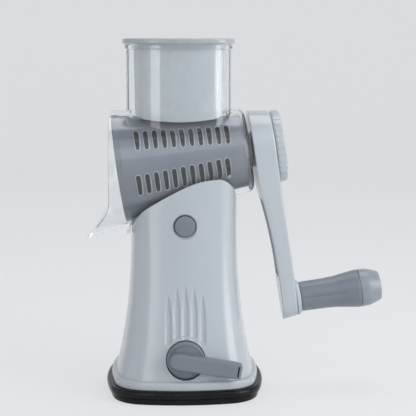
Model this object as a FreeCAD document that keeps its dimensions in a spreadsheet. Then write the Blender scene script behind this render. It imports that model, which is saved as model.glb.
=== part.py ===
"""Hand cranked rotary vegetable shredder: a tapered stand held down by a suction foot, a clear
hopper that drops into the top of the stand, a conical shredding drum turned by a crank, and a
pusher in the feed tube.

Row frame: millimetres, +Z up, origin at the middle of the suction foot on the table. The front,
with the release button and the suction lever, faces -Y, and the crank is at +X.

Drum frame: the drum, its drive and the crank share one axis that climbs towards the crank. Their
sub-parts are drawn with local Z along that axis, local X pointing down and local Y as in the row
frame, and are then placed with drum_frame().
"""

import FreeCAD
import Part
import math
import os
import Sketcher

Vector = FreeCAD.Vector
DOC = FreeCAD.newDocument("rotary_shredder")
SHEET = DOC.addObject("Spreadsheet::Sheet", "dims")

# ---------------------------------------------------------------- driving dimensions
# In millimetres and degrees. A value that starts with = follows other values.
DIMENSIONS = {
    # drum axis
    "axis_height": 184.8,  # height of the drum axis above the table, at the origin
    "axis_tilt": 8.0,  # the axis climbs this much towards the crank
    "cone_taper": 7.7,  # half angle that drum and chamber share
    # hopper: chamber, feed tube, spout
    "chamber_radius": 39.7,  # outer radius where the axis crosses x = 0
    "chamber_wall": 2.8,
    "chamber_end": 52.2,  # outer face of the closed end, along the axis
    "chamber_corner": 6.0,
    "mouth_x": -58.3,  # where the chamber's upper part is cut off
    "spout_bend_z": "=axis_height - 27.8",
    "spout_bend_radius": 25.0,
    "spout_flare": 36.0,  # the lower part leans out by this much
    "spout_tip_z": "=axis_height - chamber_radius - 33.1",
    "tube_x": -4.0,
    "tube_width": 83.0,
    "tube_depth": 64.0,
    "tube_corner": 20.0,
    "tube_wall": 3.0,
    "tube_top": "=axis_height + chamber_radius + 51",
    "bead_height": 3.4,
    "bead_proud": 1.2,
    # pusher
    "pusher_gap": 2.2,
    "pusher_seat": 0.3,  # gap between the flange and the tube's rim
    "pusher_wall": 2.4,
    "pusher_draft": 1.0,
    "pusher_sole_z": "=axis_height + chamber_radius - 11",
    "pusher_saddle_radius": "=chamber_radius + 14.3",
    "pusher_crown_z": "=axis_height + chamber_radius - chamber_wall - drum_gap + 2.5",
    "flange_height": 4.1,
    "flange_proud": 2.9,
    # drum
    "drum_gap": 2.2,  # between drum and chamber
    "drum_sheet": 1.0,
    "drum_front": -47.4,
    "drum_back": "=chamber_end - chamber_wall - 3.4",
    "drum_rows": 7,
    "drum_first_row": -16.0,  # angle above the horizontal, on the front
    "teeth_in_row": 11,
    "tooth_pitch": 6.95,
    "teeth_middle": "=(drum_front + drum_back) / 2 + 0.8",
    "row_stagger": 2.8,  # every second row sits this much nearer the crank
    "tooth_radius": 2.35,
    "tooth_tail_radius": 1.0,
    "tooth_length": 7.4,
    "tooth_skin": 0.6,
    "tooth_sink": 1.1,
    "slot_width": 3.7,
    "slot_length": 7.0,
    "ring_width": 4.8,
    "ring_proud": 1.2,
    "sleeve_wall": 1.6,
    "sleeve_length": 4.5,
    "cap_thick": 2.4,
    "hub_radius": 11.0,
    "hub_front": "=drum_back - 17.8",
    "hub_floor": 3.0,
    "rib_count": 6,
    "rib_thick": 1.6,
    "rib_depth": 7.0,
    # drive and its bearing
    "key_width": 12.0,
    "key_fit": 0.1,
    "key_front": "=hub_front + 6.3",
    "journal_radius": 8.8,
    "running_gap": 0.08,
    "bearing_radius": "=journal_radius + 2.7",
    "bearing_flange": "=bearing_radius + 3",
    "bearing_flange_thick": 1.7,
    "arm_key_width": 14.0,
    "arm_key_depth": 10.5,
    # crank arm
    "arm_inner": "=chamber_end + 2.4",
    "arm_outer": "=arm_inner + 18.9",
    "hub_outer": "=arm_outer - 1.6",  # outer face at the hub, under the knob
    "arm_hub_radius": 31.2,
    "arm_end_radius": 17.0,
    "arm_draft": 7.7,
    "crank_radius": 124.0,
    "arm_bend": 28.0,
    "arm_slope_end": 82.0,
    "arm_waist": "=arm_inner + 6.6",  # inner face of the arm's slim part
    "arm_edge": 1.2,
    "arm_rim": 3.2,
    "arm_web": 7.5,
    # lock knob and bolt
    "knob_gap": 0.3,
    "knob_radius": 28.7,
    "knob_thick": 7.2,
    "knob_edge": 1.0,
    "knob_flutes": 26,
    "flute_radius": 2.2,
    "flute_depth": 0.7,
    "dish_radius": 21.0,
    "dish_depth": 1.4,
    "bolt_radius": 3.0,
    "bolt_gap": 0.3,
    "bolt_bar_length": 14.0,
    "bolt_bar_width": 5.6,
    "bolt_bar_thick": 3.2,
    # grip
    "washer_radius": 14.4,
    "washer_thick": 3.4,
    "spindle_radius": 3.5,
    "spindle_seat": "=arm_outer - 7",
    "grip_start": "=arm_outer + 3.9",
    "grip_length": 48.0,
    "grip_neck_radius": 12.0,
    "grip_waist_radius": 12.2,
    "grip_belly_radius": 15.2,
    "grip_grooves": 4,
    "groove_width": 1.4,
    "groove_depth": 0.7,
    "cap_length": 17.0,
    "cap_face_radius": 10.2,
    "cap_seam": 0.4,
    "screw_head_radius": 5.5,
    "screw_head_thick": 2.6,
    "screw_shank_radius": 1.5,
    # stand
    "column_half_width": 41.8,
    "column_half_depth": 36.0,
    "column_top": "=axis_height - 6.8",
    "flare_width_top": "=axis_height - 34.8",  # the sides run straight above this height
    "flare_depth_top": "=axis_height - 19.8",
    "skirt_half_width": "=base_half_width - 3.4",
    "skirt_half_depth": "=base_half_depth - 3.8",
    "skirt_z": 18.0,
    "width_flare_power": 2.6,
    "depth_flare_power": 1.9,
    "side_bow": 2.9,  # radius of each bowed side, over its half length
    "corner_share": 0.46,  # corner radius over half width
    "shell_wall": 2.8,
    "cradle_gap": 0.4,
    "base_half_width": 58.4,
    "base_half_depth": 58.0,
    "base_bottom": 11.0,
    "base_top": 17.6,
    "base_edge": 1.6,
    "post_inset": 12.2,  # from the skirt's corner, past the drop of its bowed sides
    "post_x": "=skirt_half_width - skirt_half_depth / (2 * side_bow) - post_inset",
    "post_y": "=skirt_half_depth - skirt_half_width / (2 * side_bow) - post_inset",
    "post_radius": 4.2,
    "post_height": 26.0,
    # decorative flutes of the stand
    "stand_flutes": 5,
    "stand_flute_pitch": 6.6,
    "stand_flute_radius": 2.6,
    "stand_flute_tip": 0.4,
    "stand_flute_depth": 1.2,
    "stand_flute_bottom": 52.0,
    "stand_flute_length": 38.0,
    "stand_flute_step": 4.2,  # the outer flutes start this much lower
    # release button, latch and the hopper's foot
    "button_z": "=axis_height - chamber_radius - 9.1",
    "button_radius": 8.0,
    "button_gap": 0.35,
    "button_face": "=column_half_depth + 1.7",
    "button_flange_radius": "=button_radius + 2.2",
    "button_flange_front": "=column_half_depth - 3.9",
    "button_flange_thick": 1.6,
    "button_neck_radius": 3.0,
    "button_crown_radius": 26.0,
    "button_travel": 3.2,
    "foot_half_x": 15.0,
    "foot_half_y": 8.0,
    "foot_bottom": "=axis_height - chamber_radius - 23.1",
    "foot_gap": 0.3,
    "tab_bottom": "=axis_height - chamber_radius - 17.4",
    "tab_height": 14.3,
    "tab_half_width": 19.0,
    "tab_gap": 0.7,
    "socket_wall": 2.2,
    "notch_z": "=foot_bottom + 1.6",
    "notch_height": 6.0,
    "notch_depth": 2.8,
    "latch_z": "=foot_bottom + 3",
    "latch_height": 5.0,
    "latch_bar": 3.0,
    "latch_front": "=foot_half_y + foot_gap + socket_wall + spring_shut + button_travel",
    "latch_back": "=foot_half_y + foot_gap + socket_wall + latch_bar + 0.7",
    "spring_radius": 3.4,
    "spring_wire": 0.4,
    "spring_turns": 5,
    "spring_shut": 8.3,  # room left for the spring when the button is pressed in
    # suction lever, cam and stem
    "lever_z": 33.6,
    "dial_radius": 14.6,
    "dial_gap": 0.8,
    "dial_back": "=skirt_half_depth - 8.8",
    "dial_front": "=dial_back + 6.2",
    "cup_wall": 3.0,
    "lever_back": "=dial_front + 2",
    "lever_front": "=lever_back + 7.8",
    "lever_reach": 43.5,
    "lever_tail": 12.6,
    "lever_width": 12.4,
    "lever_droop": 9.6,
    "lever_edge": 1.6,
    "shaft_radius": 5.0,
    "shaft_back": 15.6,
    "shaft_key": 7.0,
    "cam_low": 7.5,
    "cam_rise": 4.0,
    "cam_half_thick": 4.0,
    "clip_thick": 1.0,
    "clip_radius": 8.0,
    "clip_groove": 4.3,
    "stem_radius": 4.5,
    "stem_half_width": 16.0,
    "stem_half_depth": 4.6,
    "window_half_width": 12.5,
    "window_bottom": "=lever_z - cam_low - cam_rise - 0.9",
    "window_gap": 0.4,
    "stem_bar": 3.6,
    # base plate and suction pad
    "plate_bottom": 12.5,
    "plate_thick": 2.5,
    "plate_gap": 0.5,  # between the base plate's edge and the shell's wall
    "plate_half_width": "=skirt_half_width - shell_wall - plate_gap",
    "plate_half_depth": "=skirt_half_depth - shell_wall - plate_gap",
    "bracket_front": 9.0,
    "bracket_thick": 4.0,
    "pad_half_width": "=base_half_width + 4.2",
    "pad_half_depth": "=base_half_depth + 3.6",
    "pad_step_z": 5.4,
    "pad_step_in": 2.2,
    "pad_collar_inset": 1.6,  # from the base plate's edge
    "pad_collar_wall": 5.0,
    "pad_web_top": 4.5,
    "pad_web_bottom": 2.2,
    "suction_radius": "=pad_half_depth - 10.4",
    "insert_gap": 0.3,
    "insert_radius": 15.0,
    "insert_thick": 2.8,
    "screw_radius": 1.7,
    "screw_length": 15.0,
    "base_head_radius": 3.3,
    "base_head_thick": 2.2,
}

for row, alias in enumerate(DIMENSIONS, start=1):
    SHEET.set(f"A{row}", alias)
    SHEET.setAlias(f"B{row}", alias)
for row, value in enumerate(DIMENSIONS.values(), start=1):
    SHEET.set(f"B{row}", str(value))
DOC.recompute()


def dim(alias):
    """The sheet's value for an alias."""
    return float(SHEET.get(alias))


# ---------------------------------------------------------------- helpers
def bind(obj, **expressions):
    """Binds properties of obj to expressions of the sheet."""
    for name, expression in expressions.items():
        obj.setExpression(name, str(expression))
    return obj


def move(obj, x="0", y="0", z="0"):
    """Places obj at a point given by three expressions."""
    for axis, expression in zip("xyz", (x, y, z)):
        obj.setExpression(f".Placement.Base.{axis}", str(expression))
    return obj


def turn(obj, axis, degrees):
    obj.Placement = FreeCAD.Placement(obj.Placement.Base, FreeCAD.Rotation(axis, degrees))
    return obj


def drum_frame(obj):
    """Puts a sub-part that was drawn along the drum axis where it belongs."""
    turn(obj, Vector(0, 1, 0), 90 - dim("axis_tilt"))
    return move(obj, z="dims.axis_height")


def along_axis(name, *shapes):
    """Shapes drawn along the drum axis, grouped and put where they belong."""
    group = DOC.addObject("Part::Compound", name)
    group.Links = list(shapes)
    return drum_frame(group)


def cylinder(name, radius, height, x="0", y="0", z="0"):
    obj = DOC.addObject("Part::Cylinder", name)
    return move(bind(obj, Radius=radius, Height=height), x, y, z)


def cylinder_y(name, radius, start, end, x="0", z="0"):
    """A cylinder along Y, from y = start to y = end."""
    obj = DOC.addObject("Part::Cylinder", name)
    turn(obj, Vector(1, 0, 0), -90)
    return move(bind(obj, Radius=radius, Height=f"({end}) - ({start})"), x, start, z)


def box(name, x, y, z):
    """A box from three pairs of expressions, each low and high."""
    obj = DOC.addObject("Part::Box", name)
    for side, (low, high) in zip(("Length", "Width", "Height"), (x, y, z)):
        obj.setExpression(side, f"({high}) - ({low})")
    return move(obj, x[0], y[0], z[0])


def fuse(name, *shapes):
    obj = DOC.addObject("Part::MultiFuse", name)
    obj.Shapes = list(shapes)
    return obj


def cut(name, base, *tools):
    obj = DOC.addObject("Part::Cut", name)
    obj.Base = base
    obj.Tool = tools[0] if len(tools) == 1 else fuse(name + "_tools", *tools)
    return obj


def common(name, first, second):
    obj = DOC.addObject("Part::MultiCommon", name)
    obj.Shapes = [first, second]
    return obj


def feature(name, shape):
    """A shape made by code from the sheet's values."""
    obj = DOC.addObject("Part::Feature", name)
    obj.Shape = shape
    return obj


def body(name):
    return DOC.addObject("PartDesign::Body", name)


def sketch_on(owner, name, plane="XZ_Plane", offset="0"):
    """A sketch on one of the body's own origin planes, moved along the plane's normal."""
    sketch = owner.newObject("Sketcher::SketchObject", name)
    origin_plane = next(f for f in owner.Origin.OriginFeatures if f.Role == plane)
    sketch.AttachmentSupport = (origin_plane, [""])
    sketch.MapMode = "FlatFace"
    sketch.setExpression(".AttachmentOffset.Base.z", str(offset))
    return sketch


def size_constraint(sketch, kind, where, expression):
    """Adds a dimension and binds it to the sheet."""
    value = float(sketch.evalExpression(str(expression)))
    index = sketch.addConstraint(Sketcher.Constraint(kind, *where, value))
    sketch.renameConstraint(index, f"size{index}")
    sketch.setExpression(f"Constraints.size{index}", str(expression))


def value_of(sketch, expression):
    return float(sketch.evalExpression(str(expression)))


def draw_outline(sketch, points):
    """A closed outline. Each point is (x, y) or (x, y, radius), in expressions: the radius bends
    the side that starts at the point, to the right of travel where it is positive."""
    flat = [Vector(value_of(sketch, p[0]), value_of(sketch, p[1]), 0) for p in points]
    ends = []
    for index, point in enumerate(points):
        start, end = flat[index], flat[(index + 1) % len(flat)]
        if len(point) == 2:
            geometry = sketch.addGeometry(Part.LineSegment(start, end))
            ends.append((geometry, 1, 2))
            continue
        radius = value_of(sketch, point[2])
        chord = end - start
        side = Vector(chord.y, -chord.x, 0).normalize()
        sag = abs(radius) - math.sqrt(radius**2 - (chord.Length / 2) ** 2)
        bulge = side * (-sag if radius < 0 else sag)
        middle = start + chord * 0.5 + bulge
        if radius > 0:
            ends.append((sketch.addGeometry(Part.Arc(start, middle, end)), 1, 2))
        else:
            ends.append((sketch.addGeometry(Part.Arc(end, middle, start)), 2, 1))
    for index, (geometry, _, last) in enumerate(ends):
        following, first, _ = ends[(index + 1) % len(ends)]
        sketch.addConstraint(Sketcher.Constraint("Coincident", geometry, last, following, first))
    for (geometry, first, _), point in zip(ends, points):
        size_constraint(sketch, "DistanceX", (geometry, first), point[0])
        size_constraint(sketch, "DistanceY", (geometry, first), point[1])
        if len(point) == 3:
            size_constraint(sketch, "Radius", (geometry,), f"abs({point[2]})")
    return sketch


def draw_circle(sketch, x, y, radius):
    centre = Vector(value_of(sketch, x), value_of(sketch, y), 0)
    circle = Part.Circle(centre, Vector(0, 0, 1), value_of(sketch, radius))
    geometry = sketch.addGeometry(circle)
    size_constraint(sketch, "DistanceX", (geometry, 3), x)
    size_constraint(sketch, "DistanceY", (geometry, 3), y)
    size_constraint(sketch, "Radius", (geometry,), radius)
    return sketch


def rectangle(x0, x1, y0, y1):
    """The corners of a rectangle, for draw_outline."""
    return [(x0, y0), (x1, y0), (x1, y1), (x0, y1)]


def rounded_rectangle(x, half_x, half_y, corner):
    """A rectangle round (x, 0) with rounded corners, for draw_outline: counter-clockwise."""
    right, left = f"{x} + {half_x}", f"{x} - ({half_x})"
    front, back = f"-({half_y})", f"{half_y}"
    return [
        (f"{left} + {corner}", front),
        (f"{right} - ({corner})", front, corner),
        (right, f"{front} + {corner}"),
        (right, f"{back} - ({corner})", corner),
        (f"{right} - ({corner})", back),
        (f"{left} + {corner}", back, corner),
        (left, f"{back} - ({corner})"),
        (left, f"{front} + {corner}", corner),
    ]


def pad(owner, name, sketch, length, taper=None, reverse=False, both_ways=False):
    obj = owner.newObject("PartDesign::Pad", name)
    obj.Profile = sketch
    obj.Reversed = reverse
    if both_ways:
        obj.SideType = "Symmetric"
    bind(obj, Length=length)
    if taper is not None:
        obj.setExpression("TaperAngle", taper)
    return obj


def pocket(owner, name, sketch, length, reverse=False, both_ways=False):
    obj = owner.newObject("PartDesign::Pocket", name)
    obj.Profile = sketch
    obj.Reversed = reverse
    if both_ways:
        obj.SideType = "Symmetric"
    return bind(obj, Length=length)


def revolve(owner, name, outline):
    """A solid of revolution about the body's Z, from an outline of (radius, z) points."""
    sketch = sketch_on(owner, name + "_profile")
    draw_outline(sketch, outline)
    obj = owner.newObject("PartDesign::Revolution", name)
    obj.Profile = sketch
    obj.ReferenceAxis = (sketch, ["V_Axis"])
    obj.Angle = 360
    return obj


def polar_pattern(owner, name, original, axis, count):
    """Repeats a feature about the body's own axis, and makes that the body's result."""
    obj = owner.newObject("PartDesign::PolarPattern", name)
    obj.Originals = [original]
    obj.Axis = (next(f for f in owner.Origin.OriginFeatures if f.Role == axis), [""])
    obj.Angle = 360
    bind(obj, Occurrences=count)
    owner.Tip = obj
    return obj


def round_edges(owner, name, base, wanted, radius, kind="PartDesign::Fillet"):
    """Rounds or bevels the edges of base that the test wanted(edge) picks."""
    DOC.recompute()
    names = [f"Edge{n}" for n, edge in enumerate(base.Shape.Edges, start=1) if wanted(edge)]
    obj = owner.newObject(kind, name)
    obj.Base = (base, names)
    prop = "Radius" if kind.endswith("Fillet") else "Size"
    obj.setExpression(prop, str(radius))
    owner.Tip = obj
    return obj


def edge_at_z(height):
    """A test for edges that lie wholly at one height."""
    return lambda edge: (
        abs(edge.BoundBox.ZMin - height) < 1e-3 and abs(edge.BoundBox.ZMax - height) < 1e-3
    )


# ---------------------------------------------------------------- shared formulas
TAPER = "tan(dims.cone_taper)"
FIT = "0.1"  # gap between a sleeve and the sheet round it


def chamber_at(s, inset="0"):
    """Radius of the chamber's outside, less an inset, at the place s along the axis."""
    return f"(dims.chamber_radius - ({inset}) - ({s}) * {TAPER})"


DRUM_INSET = "dims.chamber_wall + dims.drum_gap"


def drum_at(s, inset="0"):
    """Radius of the drum sheet's outside, less an inset, at the place s along the axis."""
    return chamber_at(s, f"{DRUM_INSET} + {inset}")


def flare(height, top, power, slim, full):
    """Half width of the stand at a height: slim above top, full at the skirt."""
    share = max(0.0, (top - height) / (top - dim("skirt_z")))
    return slim + (full - slim) * share**power


def stand_half_width(height):
    return flare(
        height,
        dim("flare_width_top"),
        dim("width_flare_power"),
        dim("column_half_width"),
        dim("skirt_half_width"),
    )


def stand_half_depth(height):
    return flare(
        height,
        dim("flare_depth_top"),
        dim("depth_flare_power"),
        dim("column_half_depth"),
        dim("skirt_half_depth"),
    )


def rounded_square(half_x, half_y, height):
    """Outline of eight arcs at one height: four bowed sides and four tangent corners."""
    bow_x, bow_y = dim("side_bow") * half_y, dim("side_bow") * half_x
    corner = dim("corner_share") * min(half_x, half_y)
    first, second = Vector(half_x - bow_x, 0, 0), Vector(0, half_y - bow_y, 0)
    reach_first, reach_second = bow_x - corner, bow_y - corner
    between = second - first
    along = (reach_first**2 - reach_second**2 + between.Length**2) / (2 * between.Length)
    across = math.sqrt(reach_first**2 - along**2)
    unit = Vector(between).normalize()
    centre = first + unit * along + Vector(-unit.y, unit.x, 0) * across
    side_end = first + (centre - first).normalize() * bow_x
    back_end = second + (centre - second).normalize() * bow_y
    middle = (side_end - centre + back_end - centre).normalize() * corner + centre

    def at(point, sign_x, sign_y):
        return Vector(point.x * sign_x, point.y * sign_y, height)

    side, back = Vector(half_x, 0, 0), Vector(0, half_y, 0)
    arcs = [
        (at(side_end, 1, -1), at(side, 1, 1), at(side_end, 1, 1)),
        (at(side_end, 1, 1), at(middle, 1, 1), at(back_end, 1, 1)),
        (at(back_end, 1, 1), at(back, 1, 1), at(back_end, -1, 1)),
        (at(back_end, -1, 1), at(middle, -1, 1), at(side_end, -1, 1)),
        (at(side_end, -1, 1), at(side, -1, 1), at(side_end, -1, -1)),
        (at(side_end, -1, -1), at(middle, -1, -1), at(back_end, -1, -1)),
        (at(back_end, -1, -1), at(back, 1, -1), at(back_end, 1, -1)),
        (at(back_end, 1, -1), at(middle, 1, -1), at(side_end, 1, -1)),
    ]
    return Part.Wire([Part.Arc(*three).toShape() for three in arcs])


def rounded_square_prism(name, half_x, half_y, bottom, top):
    face = Part.Face(rounded_square(half_x, half_y, bottom))
    return feature(name, face.extrude(Vector(0, 0, top - bottom)))


LOFT_SHARES = (0.0, 0.1, 0.22, 0.36, 0.52, 0.7, 0.86, 1.0)


def stand_loft(name, inset, bottom):
    """The stand's flared column, drawn in by an inset, from a height up to its top."""
    top = dim("column_top")
    wires = []
    for share in LOFT_SHARES:
        height = bottom + (top - bottom) * share
        curve_height = max(height, dim("skirt_z"))
        half_x = stand_half_width(curve_height) - inset
        half_y = stand_half_depth(curve_height) - inset
        wires.append(rounded_square(half_x, half_y, height))
    return feature(name, Part.makeLoft(wires, True, False))


# ---------------------------------------------------------------- hopper
def make_hopper():
    """Clear moulding: conical chamber with a spout, oval feed tube, bead, foot and side tab."""
    s_front = "-95"  # beyond the spout's tip
    end, corner, wall = "dims.chamber_end", "dims.chamber_corner", "dims.chamber_wall"

    outside = body("chamber_outside")
    revolve(
        outside,
        "chamber_cone",
        [
            ("0", s_front),
            (chamber_at(s_front), s_front),
            (chamber_at(f"{end} - {corner}"), f"{end} - {corner}", corner),
            (f"{chamber_at(end)} - {corner}", end),
            ("0", end),
        ],
    )
    drum_frame(outside)

    inside = body("chamber_inside")
    floor = f"({end} - {wall})"
    inner_corner = f"({corner} - {wall})"
    inner_bend = f"({floor} - {inner_corner})"
    revolve(
        inside,
        "chamber_hollow",
        [
            ("0", s_front),
            (chamber_at(s_front, wall), s_front),
            (chamber_at(inner_bend, wall), inner_bend, inner_corner),
            (f"{chamber_at(floor, wall)} - {inner_corner}", floor),
            ("0", floor),
        ],
    )
    drum_frame(inside)

    def tube(name, grow, bottom, top):
        """A length of the feed tube's oval, grown by some amount all round."""
        owner = body(name)
        sketch = sketch_on(owner, name + "_oval", "XY_Plane", bottom)
        half_x = f"(dims.tube_width / 2 + {grow})"
        half_y = f"(dims.tube_depth / 2 + {grow})"
        draw_outline(
            sketch,
            rounded_rectangle("dims.tube_x", half_x, half_y, f"(dims.tube_corner + {grow})"),
        )
        pad(owner, name + "_pad", sketch, f"({top}) - ({bottom})")
        return owner

    top = "dims.tube_top"
    tube_outside = tube("tube_outside", "0", "dims.axis_height", top)
    bead = tube("tube_bead", "dims.bead_proud", f"{top} - dims.bead_height", top)
    DOC.recompute()
    bead_edge = edge_at_z(dim("tube_top") - dim("bead_height"))
    round_edges(bead, "bead_round", bead.Tip, bead_edge, "dims.bead_proud * 0.9")
    tube_inside = tube("tube_inside", "-dims.tube_wall", "dims.axis_height", f"{top} + 5")

    foot_x, foot_y = "dims.foot_half_x", "dims.foot_half_y"
    foot = box(
        "foot_block",
        (f"-{foot_x}", foot_x),
        (f"-{foot_y}", foot_y),
        ("dims.foot_bottom", "dims.foot_bottom + 28"),
    )
    tab_inner = "(dims.column_half_width + dims.tab_gap)"
    tab = box(
        "side_tab",
        (f"-{tab_inner} - dims.chamber_wall", f"-{tab_inner}"),
        ("-dims.tab_half_width", "dims.tab_half_width"),
        ("dims.tab_bottom", "dims.tab_bottom + dims.tab_height"),
    )

    spout_cut = body("spout_cut")
    sketch = sketch_on(spout_cut, "spout_curve")
    bend, turned = "dims.spout_bend_radius", "dims.spout_flare"
    bend_x = f"(dims.mouth_x - {bend} * (1 - cos({turned})))"
    bend_z = f"(dims.spout_bend_z - {bend} * sin({turned}))"
    tip_x = f"({bend_x} - ({bend_z} - dims.spout_tip_z) * tan({turned}))"
    draw_outline(
        sketch,
        [
            ("dims.mouth_x", top),
            ("dims.mouth_x", "dims.spout_bend_z", f"-{bend}"),
            (bend_x, bend_z),
            (tip_x, "dims.spout_tip_z"),
            ("-140", "dims.spout_tip_z"),
            ("-140", top),
        ],
    )
    pad(spout_cut, "spout_slab", sketch, "160", both_ways=True)

    bore = cylinder("bearing_bore", "dims.bearing_radius", "20", z=f"{end} - 12")
    bearing_hole = along_axis("bearing_hole", bore)
    notch = box(
        "foot_notch",
        (f"-{foot_x} + 4", f"{foot_x} - 4"),
        (f"{foot_y} - dims.notch_depth", f"{foot_y} + 1"),
        ("dims.notch_z", "dims.notch_z + dims.notch_height"),
    )
    solid = fuse("hopper_solid", outside, tube_outside, bead, foot, tab)
    return cut("hopper_body", solid, inside, tube_inside, spout_cut, bearing_hole, notch)


def make_hub_bearing():
    """Flanged bush in the chamber's end wall."""
    owner = body("hub_bearing")
    inner = "(dims.journal_radius + dims.running_gap)"
    start = "(dims.chamber_end - dims.chamber_wall)"
    flange_end = "(dims.chamber_end + dims.bearing_flange_thick)"
    revolve(
        owner,
        "bush",
        [
            (inner, start),
            ("dims.bearing_radius", start),
            ("dims.bearing_radius", "dims.chamber_end"),
            ("dims.bearing_flange", "dims.chamber_end"),
            ("dims.bearing_flange", flange_end),
            (inner, flange_end),
        ],
    )
    return drum_frame(owner)


# ---------------------------------------------------------------- pusher
def make_pusher():
    """Cup with a flange that rests on the tube, and a sole hollowed to follow the drum."""
    owner = body("pusher_cup")
    inset = "(dims.tube_wall + dims.pusher_gap)"
    half_x = f"(dims.tube_width / 2 - {inset})"
    half_y = f"(dims.tube_depth / 2 - {inset})"
    corner = f"(dims.tube_corner - {inset})"
    top = "(dims.tube_top + dims.pusher_seat)"
    height = f"{top} - dims.pusher_sole_z"
    outline = sketch_on(owner, "pusher_outline", "XY_Plane", top)
    draw_outline(outline, rounded_rectangle("dims.tube_x", half_x, half_y, corner))
    pad(owner, "pusher_walls", outline, height, taper="-dims.pusher_draft", reverse=True)
    flange = sketch_on(owner, "flange_outline", "XY_Plane", top)
    proud = "dims.flange_proud"
    draw_outline(
        flange,
        rounded_rectangle(
            "dims.tube_x",
            f"(dims.tube_width / 2 + {proud})",
            f"(dims.tube_depth / 2 + {proud})",
            f"(dims.tube_corner + {proud})",
        ),
    )
    plate = pad(owner, "flange", flange, "dims.flange_height")
    DOC.recompute()
    rim = edge_at_z(dim("tube_top") + dim("pusher_seat") + dim("flange_height"))
    round_edges(owner, "flange_round", plate, rim, "dims.flange_height * 0.28")
    inner = sketch_on(owner, "pusher_inner", "XY_Plane", f"{top} + dims.flange_height")
    wall = "dims.pusher_wall"
    draw_outline(
        inner,
        rounded_rectangle(
            "dims.tube_x", f"({half_x} - {wall})", f"({half_y} - {wall})", f"({corner} - {wall})"
        ),
    )
    hollow = pocket(owner, "pusher_hollow", inner, "dims.flange_height + 46")
    hollow.setExpression("TaperAngle", "-dims.pusher_draft")
    saddle = cylinder("pusher_saddle", "dims.pusher_saddle_radius", "200", z="-100")
    turn(saddle, Vector(0, 1, 0), 90)
    move(saddle, x="-100", z="dims.pusher_crown_z - dims.pusher_saddle_radius")
    return cut("food_pusher", owner, saddle)


# ---------------------------------------------------------------- drum
def tooth_shapes():
    """One shredding tooth at the front of the drum, pointing up: its hood, and what is cut out
    for its throat and its slot. Local -Y is outwards and local -X is up."""
    length = dim("tooth_length")
    sink = dim("tooth_sink")
    start = Vector(0, sink, 0)
    down = Vector(1, 0.07, 0).normalize()
    hood = Part.makeCone(dim("tooth_radius"), dim("tooth_tail_radius"), length, start, down)
    skin = dim("tooth_skin")
    throat = Part.makeCone(
        dim("tooth_radius") - skin,
        dim("tooth_tail_radius") - skin,
        length - skin,
        start - down * 0.01,
        down,
    )
    width, reach = dim("slot_width"), dim("slot_length")
    deep = 4.0
    half = width / 2
    middle = Part.makeBox(reach - half, deep * 2, width, Vector(half - reach, -deep, -half))
    top_end = Part.makeCylinder(half, deep * 2, Vector(half - reach, -deep, 0), Vector(0, 1, 0))
    slot = middle.fuse(top_end)
    return hood, throat.fuse(slot)


def tooth_places():
    """The placement of every tooth in the drum frame, row by row."""
    taper = dim("cone_taper")
    inset = dim("chamber_wall") + dim("drum_gap")
    count = int(dim("teeth_in_row"))
    rows = int(dim("drum_rows"))
    for row in range(rows):
        angle = dim("drum_first_row") + 360.0 * row / rows
        around = FreeCAD.Rotation(Vector(0, 0, 1), -angle)
        for index in range(count):
            s = dim("teeth_middle") + (index - (count - 1) / 2) * dim("tooth_pitch")
            s += dim("row_stagger") * (row % 2)
            radius = dim("chamber_radius") - inset - s * math.tan(math.radians(taper))
            lean = FreeCAD.Rotation(Vector(1, 0, 0), -taper)
            spot = around.multVec(Vector(0, -radius, s))
            yield FreeCAD.Placement(spot, around.multiply(lean))


def make_drum():
    """Conical sheet with rows of stamped teeth, each a slot under a raised hood."""
    front, back = "dims.drum_front", "dims.drum_back"
    length = f"({back}) - ({front})"
    sheet = "dims.drum_sheet"
    outer = DOC.addObject("Part::Cone", "drum_outside")
    bind(outer, Radius1=drum_at(front), Radius2=drum_at(back), Height=length)
    move(outer, z=front)
    inner = DOC.addObject("Part::Cone", "drum_inside")
    bind(
        inner,
        Radius1=drum_at(f"({front} - 1)", sheet),
        Radius2=drum_at(f"({back} + 1)", sheet),
        Height=f"{length} + 2",
    )
    move(inner, z=f"{front} - 1")
    hood, opening = tooth_shapes()
    places = list(tooth_places())
    hoods = feature("drum_hoods", Part.Compound([moved(hood, p) for p in places]))
    openings = feature("drum_openings", Part.Compound([moved(opening, p) for p in places]))
    solid = fuse("drum_solid", outer, hoods)
    hollow = DOC.addObject("Part::Cut", "drum_hollow")
    hollow.Base, hollow.Tool = solid, inner
    drum = DOC.addObject("Part::Cut", "shred_drum")
    drum.Base, drum.Tool = hollow, openings
    return drum_frame(drum)


def moved(shape, placement):
    copy = shape.copy()
    copy.Placement = placement.multiply(copy.Placement)
    return copy


def make_mouth_ring():
    """Ring that stiffens the drum's open end and grips the sheet from inside."""
    owner = body("drum_mouth_ring")
    front = "dims.drum_front"
    face = f"({front} - dims.ring_width)"
    inside = f"dims.drum_sheet + {FIT}"
    sleeve_end = f"({front} + dims.sleeve_length)"
    outer = f"({drum_at(front)} + dims.ring_proud)"
    inner = f"({drum_at(sleeve_end, inside)} - dims.sleeve_wall)"
    revolve(
        owner,
        "mouth_ring",
        [
            (inner, face),
            (f"{outer} - 1", face, "1"),
            (outer, f"{face} + 1"),
            (outer, front),
            (drum_at(front, inside), front),
            (drum_at(sleeve_end, inside), sleeve_end),
            (inner, sleeve_end),
        ],
    )
    return drum_frame(owner)


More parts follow.
